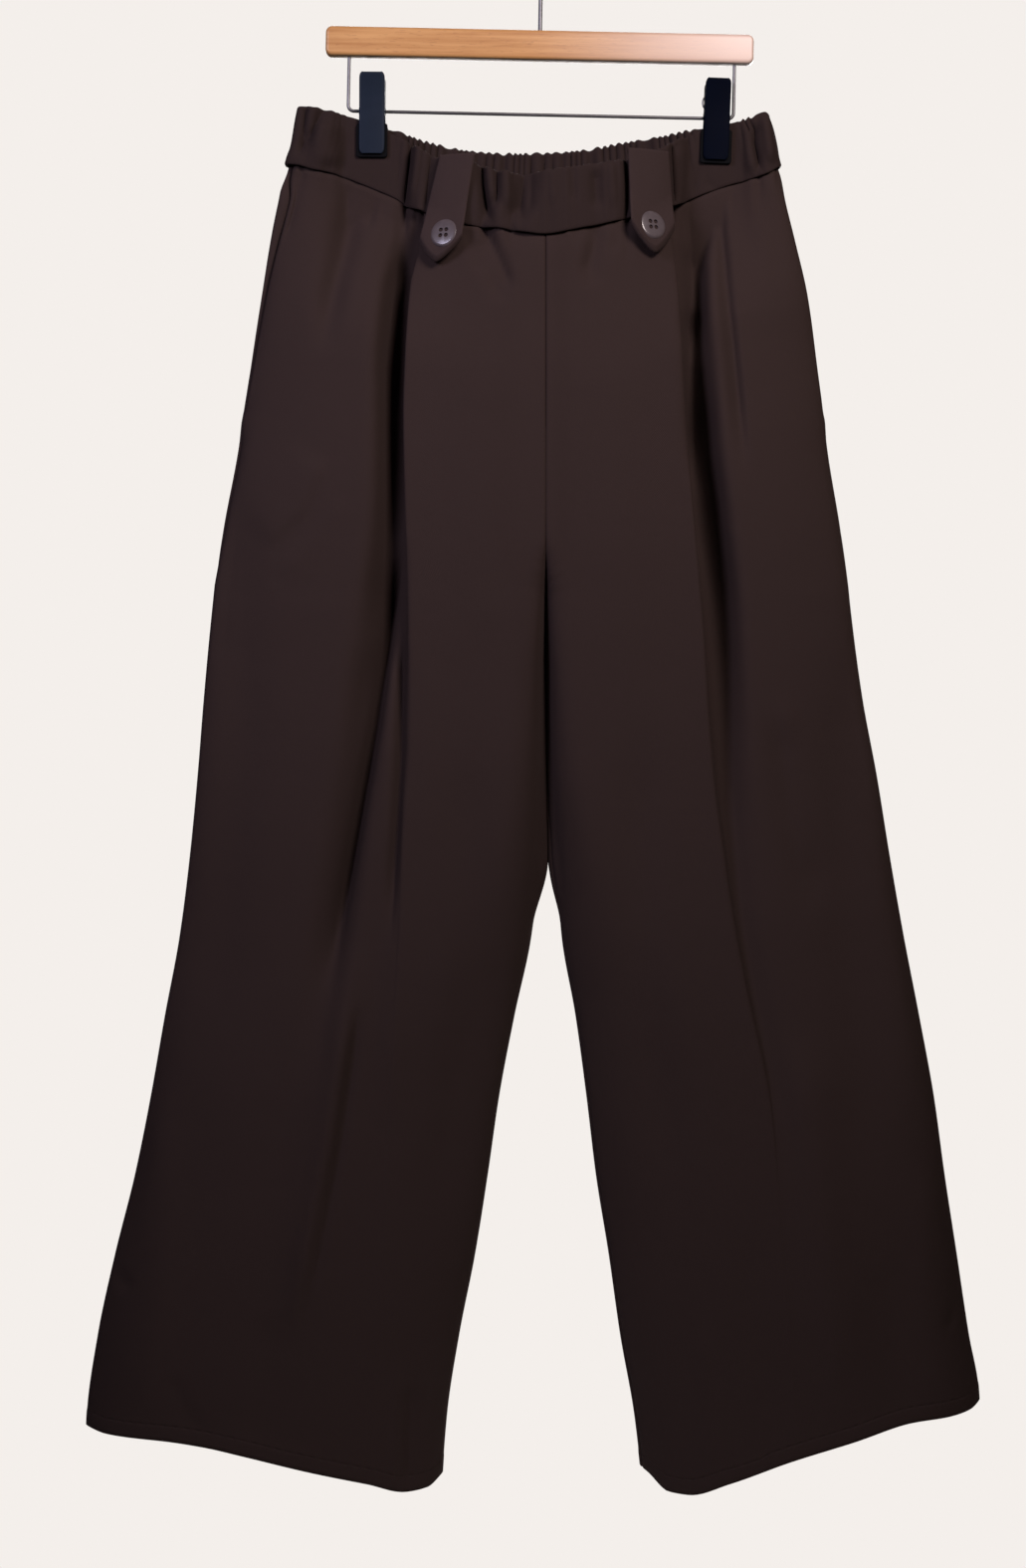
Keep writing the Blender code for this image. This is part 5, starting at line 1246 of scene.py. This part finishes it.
def pocket_grid(leg, k, rows=8, columns=6):
    grid = []
    for r in np.linspace(0, 1, rows):
        down = POCKETS["top_down"][k] + (POCKETS["low_down"][k] - POCKETS["top_down"][k]) * r
        wide = ease(min(1.0, r * 1.6))
        inner = POCKETS["inner_top"][k] + (POCKETS["inner_low"][k] - POCKETS["inner_top"][k]) * wide
        line = half_ring(leg, down, 1)
        out = leg["out"]
        last = out * read(leg["side"], "x", down) - 6.0
        first = out * inner
        if r > 0.7:
            round_off = 1 - math.sqrt(1 - ((r - 0.7) / 0.3) ** 2 * 0.9)
            first += 26 * round_off
            last -= 30 * round_off
        across = np.linspace(first, last, columns)
        order = np.argsort(out * line[:, 0])
        fwd = np.interp(across, (out * line[:, 0])[order], line[order, 1])
        behind = CLOTH / 2 + SEAM + BAG / 2 + 6.4
        grid.append([(out * a, f - behind - 0.5 * max(0.0, 10 - f), down) for a, f in zip(across, fwd)])
    return np.array(grid)


for k, (side, leg) in enumerate((("right", RIGHT), ("left", LEFT))):
    g = pocket_grid(leg, k, 70, 40)
    u = arc_length(world(g), 1)
    g[..., 1] += 0.7 * np.sin(g[..., 2] / 17.0 + u / 31.0) * ease(u / 12) + 0.5 * np.sin(u / 9.0 + g[..., 2] / 40.0) * ease(u / 12)
    # the bag stays behind the front's own folds
    for row in g:
        near = FRONTS[leg["out"]]
        near = near[np.abs(near[:, 2] - row[:, 2].mean()) < 5]
        for place in row:
            least = near[np.abs(near[:, 0] - place[0]) < 4, 1].min(initial=999.0)
            place[1] = min(place[1], least - 2.4)
    p = world(g)
    uv = np.stack([u * MM, (g[-1:, :, 2] - g[..., 2] + 60) * MM], 2)
    o = mesh_of(f"pocket_bag_{side}_cloth", p.reshape(-1, 3), grid_quads(*p.shape[:2], flip=k == 1), uv.reshape(-1, 2), POCKETING)
    thicken(o, BAG)
    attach(o, "root")
    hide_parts(f"pocket_bag_{side}")

# ---------------------------------------------------------------- hanger


def tilted(x, down):
    return x * math.cos(TILT) - down * math.sin(TILT), down * math.cos(TILT) + x * math.sin(TILT)


def arc(cx, cy, r, a0, a1, steps):
    return [(cx + r * math.cos(math.radians(a)), cy - r * math.sin(math.radians(a))) for a in np.linspace(a0, a1, steps)]


def tube(name, points, radius, finish, node=None, sides=9):
    """A wire along world places in mm."""
    curve = bpy.data.curves.new(name, "CURVE")
    curve.dimensions = "3D"
    curve.bevel_depth = radius * MM
    curve.bevel_resolution = sides
    curve.use_fill_caps = True
    spline = curve.splines.new("POLY")
    spline.points.add(len(points) - 1)
    for p, c in zip(spline.points, points):
        p.co = (c[0] * MM, c[1] * MM, c[2] * MM, 1)
    made = bpy.data.objects.new(name, curve)
    bpy.context.scene.collection.objects.link(made)
    bpy.context.view_layer.update()
    mesh = bpy.data.meshes.new_from_object(made.evaluated_get(bpy.context.evaluated_depsgraph_get()))
    bpy.data.objects.remove(made)
    o = bpy.data.objects.new(name, mesh)
    bpy.context.scene.collection.objects.link(o)
    mesh.name = name
    mesh.materials.clear()
    mesh.materials.append(finish)
    mesh.shade_smooth()
    mesh.set_sharp_from_angle(angle=math.radians(50))
    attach(o, "root")
    if node:
        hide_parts(node)
    return o


def hanger():
    b = WIRE_BEND
    low = BAR_TOP + BAR_TALL + SEAM
    path = [(WIRE_FROM, low)] + arc(WIRE_FROM + b, WIRE_DOWN - b, b, 180, 270, 14) + arc(WIRE_TO - b, WIRE_DOWN - b, b, 270, 360, 14) + [(WIRE_TO, low)]
    tube("hanger_wire_round", [(tilted(x, d)[0], 0, -tilted(x, d)[1]) for x, d in path], WIRE_R, STEEL, "hanger_wire")
    r = CROOK_R + HOOK_R
    crook = arc(0, CROOK_R, r, -62, 205, 70)
    start, leave = np.array(crook[0]), np.array([-math.sin(math.radians(62)), math.cos(math.radians(62))])
    stem_top = start[1] + 2 * HOOK_BEND
    p = [start, start + leave * 9, np.array([0, stem_top - 7]), np.array([0, stem_top])]
    neck = [tuple((1 - s) ** 3 * p[0] + 3 * s * (1 - s) ** 2 * p[1] + 3 * s * s * (1 - s) * p[2] + s**3 * p[3]) for s in np.linspace(0, 1, 22)[1:]]
    path = [(0, BAR_TOP - SEAM)] + neck[::-1] + crook
    tube("hanger_hook_round", [(tilted(x, d)[0], 0, -tilted(x, d)[1]) for x, d in path], HOOK_R, STEEL, "hanger_hook")
    mesh = bpy.data.meshes.new("hanger_bar_beech")
    bm = bmesh.new()
    bmesh.ops.create_cube(bm, size=1.0)
    bmesh.ops.scale(bm, vec=(BAR_LONG * MM, BAR_DEEP * MM, BAR_TALL * MM), verts=bm.verts)
    upright = [e for e in bm.edges if abs(e.verts[0].co.y - e.verts[1].co.y) > 0.001]
    bmesh.ops.bevel(bm, geom=upright, offset=5 * MM, segments=10, profile=0.5, affect="EDGES")
    rim = [e for e in bm.edges if len(e.link_faces) == 2 and e.calc_face_angle() > math.radians(60)]
    bmesh.ops.bevel(bm, geom=rim, offset=2.4 * MM, segments=6, profile=0.5, affect="EDGES")
    bm.to_mesh(mesh)
    bm.free()
    mesh.materials.append(WOOD)
    mesh.shade_smooth()
    o = bpy.data.objects.new("hanger_bar_beech", mesh)
    bpy.context.scene.collection.objects.link(o)
    x, down = tilted(0, BAR_TOP + BAR_TALL / 2)
    o.location = (x * MM, 0, -down * MM)
    o.rotation_euler = (0, TILT, 0)
    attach(o, "root")
    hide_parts("hanger_bar")


hanger()

JAW = table(
    "along fwd half",
    (-28.5, 10.4, 7.4), (-27.3, 10.3, 8.7), (-25, 9.9, 9.4), (-17, 8.8, 9.5), (-8, 7.9, 9.5), (0, 7.6, 9.5),
    (7, 7.8, 9.5), (10, 8.0, 9.5), (24, 8.2, 9.5), (31, 8.2, 9.3), (33.6, 8.2, 8.2), (34.5, 8.2, 7.0),
)


def clip_place(k):
    lean = math.radians(CLIPS["lean"][k])

    def place(x, fwd, along):
        return (CLIPS["x"][k] + x * math.cos(lean) - along * math.sin(lean), -fwd,
                -(CLIPS["down"][k] + along * math.cos(lean) + x * math.sin(lean)))

    return place


def clip(k, side):
    place = clip_place(k)
    lean = math.radians(CLIPS["lean"][k])
    wire_x, wire_down = tilted(CLIPS["x"][k] + CLIPS["down"][k] * math.sin(TILT), WIRE_DOWN)
    for face, label in ((1, "front"), (-1, "back")):
        # a pressed channel: flat across, its sides turned in above the pads
        rows = []
        along_at = np.concatenate([np.linspace(-28.5, -25, 7), np.linspace(-25, 31, 40)[1:], np.linspace(31, 34.5, 8)[1:]])
        for along in along_at:
            fwd, half = read(JAW, "fwd", along), read(JAW, "half", along)
            deep = 3.2 * float(ease((8.0 - along) / 5)) * float(ease((along + 29.5) / 4)) + 0.25
            line = []
            for j in np.linspace(-1, 1, 15):
                line.append((half * j * 0.965, fwd + 0.35 * (1 - j * j)))
            left = [(-half, fwd - deep), (-half, fwd - deep * 0.5), (-half * 0.995, fwd - 0.18)]
            right = [(half * 0.995, fwd - 0.18), (half, fwd - deep * 0.5), (half, fwd - deep)]
            rows.append([place(x, face * f, along) for x, f in left + line + right])
        p = np.array(rows)
        o = mesh_of(f"clip_{side}_{label}_plate", p.reshape(-1, 3), grid_quads(*p.shape[:2], flip=face < 0), None, PLATES[k])
        thicken(o, 1.1)
        soft = o.modifiers.new("soft", "BEVEL")
        soft.width, soft.segments, soft.limit_method, soft.angle_limit = 0.3 * MM, 2, "ANGLE", math.radians(55)
        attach(o, "root")
        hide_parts(f"clip_{side}_{label}_jaw")
        # the pad: a rubber cushion wider than the plate
        mesh = bpy.data.meshes.new(f"clip_{side}_{label}_cushion")
        bm = bmesh.new()
        bmesh.ops.create_cube(bm, size=1.0)
        bmesh.ops.scale(bm, vec=(PAD_WIDE * MM, PAD_THICK * MM, (PAD_TO - PAD_FROM) * MM), verts=bm.verts)
        bmesh.ops.bevel(bm, geom=[e for e in bm.edges if abs(e.verts[0].co.y - e.verts[1].co.y) > 0.001], offset=2.2 * MM, segments=6, profile=0.5, affect="EDGES")
        bmesh.ops.bevel(bm, geom=[e for e in bm.edges if len(e.link_faces) == 2 and e.calc_face_angle() > math.radians(60)], offset=0.7 * MM, segments=3, profile=0.5, affect="EDGES")
        bm.to_mesh(mesh)
        bm.free()
        mesh.materials.append(RUBBER)
        mesh.shade_smooth()
        pad = bpy.data.objects.new(mesh.name, mesh)
        bpy.context.scene.collection.objects.link(pad)
        x, _, z = place(0, 0, (PAD_TO + PAD_FROM) / 2)
        pad.location = (x * MM, -face * PAD_FWD * MM, z * MM)
        pad.rotation_euler = (0, lean, 0)
        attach(pad, "root")
        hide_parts(f"clip_{side}_{label}_pad")
    # the spring wound on the wire, with a leg up behind each plate, and the two lugs
    length, turns = CLIPS["barrel"][k] - 5.0, 7
    steps = np.linspace(0, 1, turns * 20 + 1)
    coil = [(wire_x + (s - 0.5) * length, 3.0 * math.sin(s * turns * math.tau), -wire_down + 3.0 * math.cos(s * turns * math.tau)) for s in steps]
    first, last = coil[0], coil[-1]
    lead = [(first[0], first[1] - 3.6 * s, first[2] + 17 * s) for s in np.linspace(1, 0.06, 8)]
    trail = [(last[0], last[1] + 3.6 * s, last[2] + 17 * s) for s in np.linspace(0.06, 1, 8)]
    tube(f"clip_{side}_coil", lead + coil + trail, 0.55, SPRING_STEEL, f"clip_{side}_pivot", 3)
    for end in (-1, 1):
        for face in (1, -1):
            disc = []
            x0 = end * 9.5
            for radius, x in ((0.01, 0.0), (2.7, 0.0), (3.0, 0.3), (3.0, 1.2), (2.6, 1.6), (0.01, 1.7)):
                disc.append([place(x0 + end * (x - 0.6), face * (3.0 + 1.0 * math.sin(a)) * 0 + radius * math.sin(a), radius * math.cos(a)) for a in np.linspace(0, math.tau, 25)])
            if face > 0:
                d = np.array(disc)
                o = mesh_of(f"clip_{side}_lug_{'left' if end > 0 else 'right'}", d.reshape(-1, 3), grid_quads(*d.shape[:2], flip=end < 0), None, PLATES[k])
                bm = bmesh.new()
                bm.from_mesh(o.data)
                bmesh.ops.remove_doubles(bm, verts=bm.verts, dist=0.00003)
                bmesh.ops.recalc_face_normals(bm, faces=bm.faces)
                bm.to_mesh(o.data)
                bm.free()
                o.data.shade_smooth()
                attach(o, "root")


clip(0, "right")
clip(1, "left")
# the end of the left clip's spring shows as a small loop beside its plate
place = clip_place(1)
loop = [place(-9.0 - 2.6 * math.sin(s), 3.0, -10.5 - 4.6 * math.cos(s)) for s in np.linspace(-0.25 * math.pi, 1.25 * math.pi, 22)]
tube("clip_left_spring_loop", loop, 0.6, SPRING_STEEL, None, 3)

# ---------------------------------------------------------------- stage

CAMERA_AT = (-0.023, -2.2, -0.6759)
VIEW_WIDE = 0.80418

camera = bpy.data.cameras.new("camera")
camera.sensor_fit = "HORIZONTAL"
camera.sensor_width = 36.0
camera.lens = 36.0 * -CAMERA_AT[1] / VIEW_WIDE
camera.clip_start, camera.clip_end = 0.05, 30
seen_from = bpy.data.objects.new("camera", camera)
seen_from.location = CAMERA_AT
seen_from.rotation_euler = (math.radians(90), 0, 0)
bpy.context.scene.collection.objects.link(seen_from)
bpy.context.scene.camera = seen_from

floor_mesh = bpy.data.meshes.new("floor")
bm = bmesh.new()
bmesh.ops.create_circle(bm, cap_ends=True, segments=96, radius=0.68)
bm.to_mesh(floor_mesh)
bm.free()
floor = bpy.data.objects.new("floor", floor_mesh)
floor.location = (0, 0, -1.5)
bpy.context.scene.collection.objects.link(floor)
plain = bpy.data.materials.new("floor_plain")
plain.use_nodes = True
plain.node_tree.nodes["Principled BSDF"].inputs["Base Color"].default_value = (0.80, 0.765, 0.735, 1)
plain.node_tree.nodes["Principled BSDF"].inputs["Roughness"].default_value = 0.9
floor_mesh.materials.append(plain)


def area_light(name, at, aim, size, power, colour, spread=180):
    data = bpy.data.lights.new(name, "AREA")
    data.shape, data.size, data.energy, data.color, data.spread = "SQUARE", size, power, colour, math.radians(spread)
    o = bpy.data.objects.new(name, data)
    o.location = at
    o.rotation_euler = (Vector(aim) - Vector(at)).to_track_quat("-Z", "Y").to_euler()
    o.visible_camera = False
    bpy.context.scene.collection.objects.link(o)


area_light("key", (0.56, -1.2, 0.35), (0.0, 0.0, -0.33), 0.45, 4.5, (1.0, 0.86, 0.83), 96)
area_light("fill_left", (-0.98, -1.1, 0.1), (-0.05, 0.0, -0.36), 0.5, 3.1, (0.80, 0.75, 1.0), 100)
area_light("fill_back", (0.4, 2.2, 0.3), (0.0, 0.0, -0.6), 1.6, 70, (1.0, 0.95, 0.95))

sky = bpy.data.worlds.new("sky")
sky.use_nodes = True
bpy.context.scene.world = sky
tree = sky.node_tree
ground = tree.nodes["Background"]
ground.inputs["Color"].default_value = (0.905, 0.863, 0.831, 1)
ground.inputs["Strength"].default_value = 0.02
shown = tree.nodes.new("ShaderNodeBackground")
shown.inputs["Color"].default_value = (0.905, 0.863, 0.831, 1)
either = tree.nodes.new("ShaderNodeMixShader")
ray = tree.nodes.new("ShaderNodeLightPath")
tree.links.new(ray.outputs["Is Camera Ray"], either.inputs[0])
tree.links.new(ground.outputs[0], either.inputs[1])
tree.links.new(shown.outputs[0], either.inputs[2])
tree.links.new(either.outputs[0], tree.nodes["World Output"].inputs[0])

bpy.context.scene.view_settings.view_transform = "Standard"
bpy.context.scene.view_settings.look = "None"
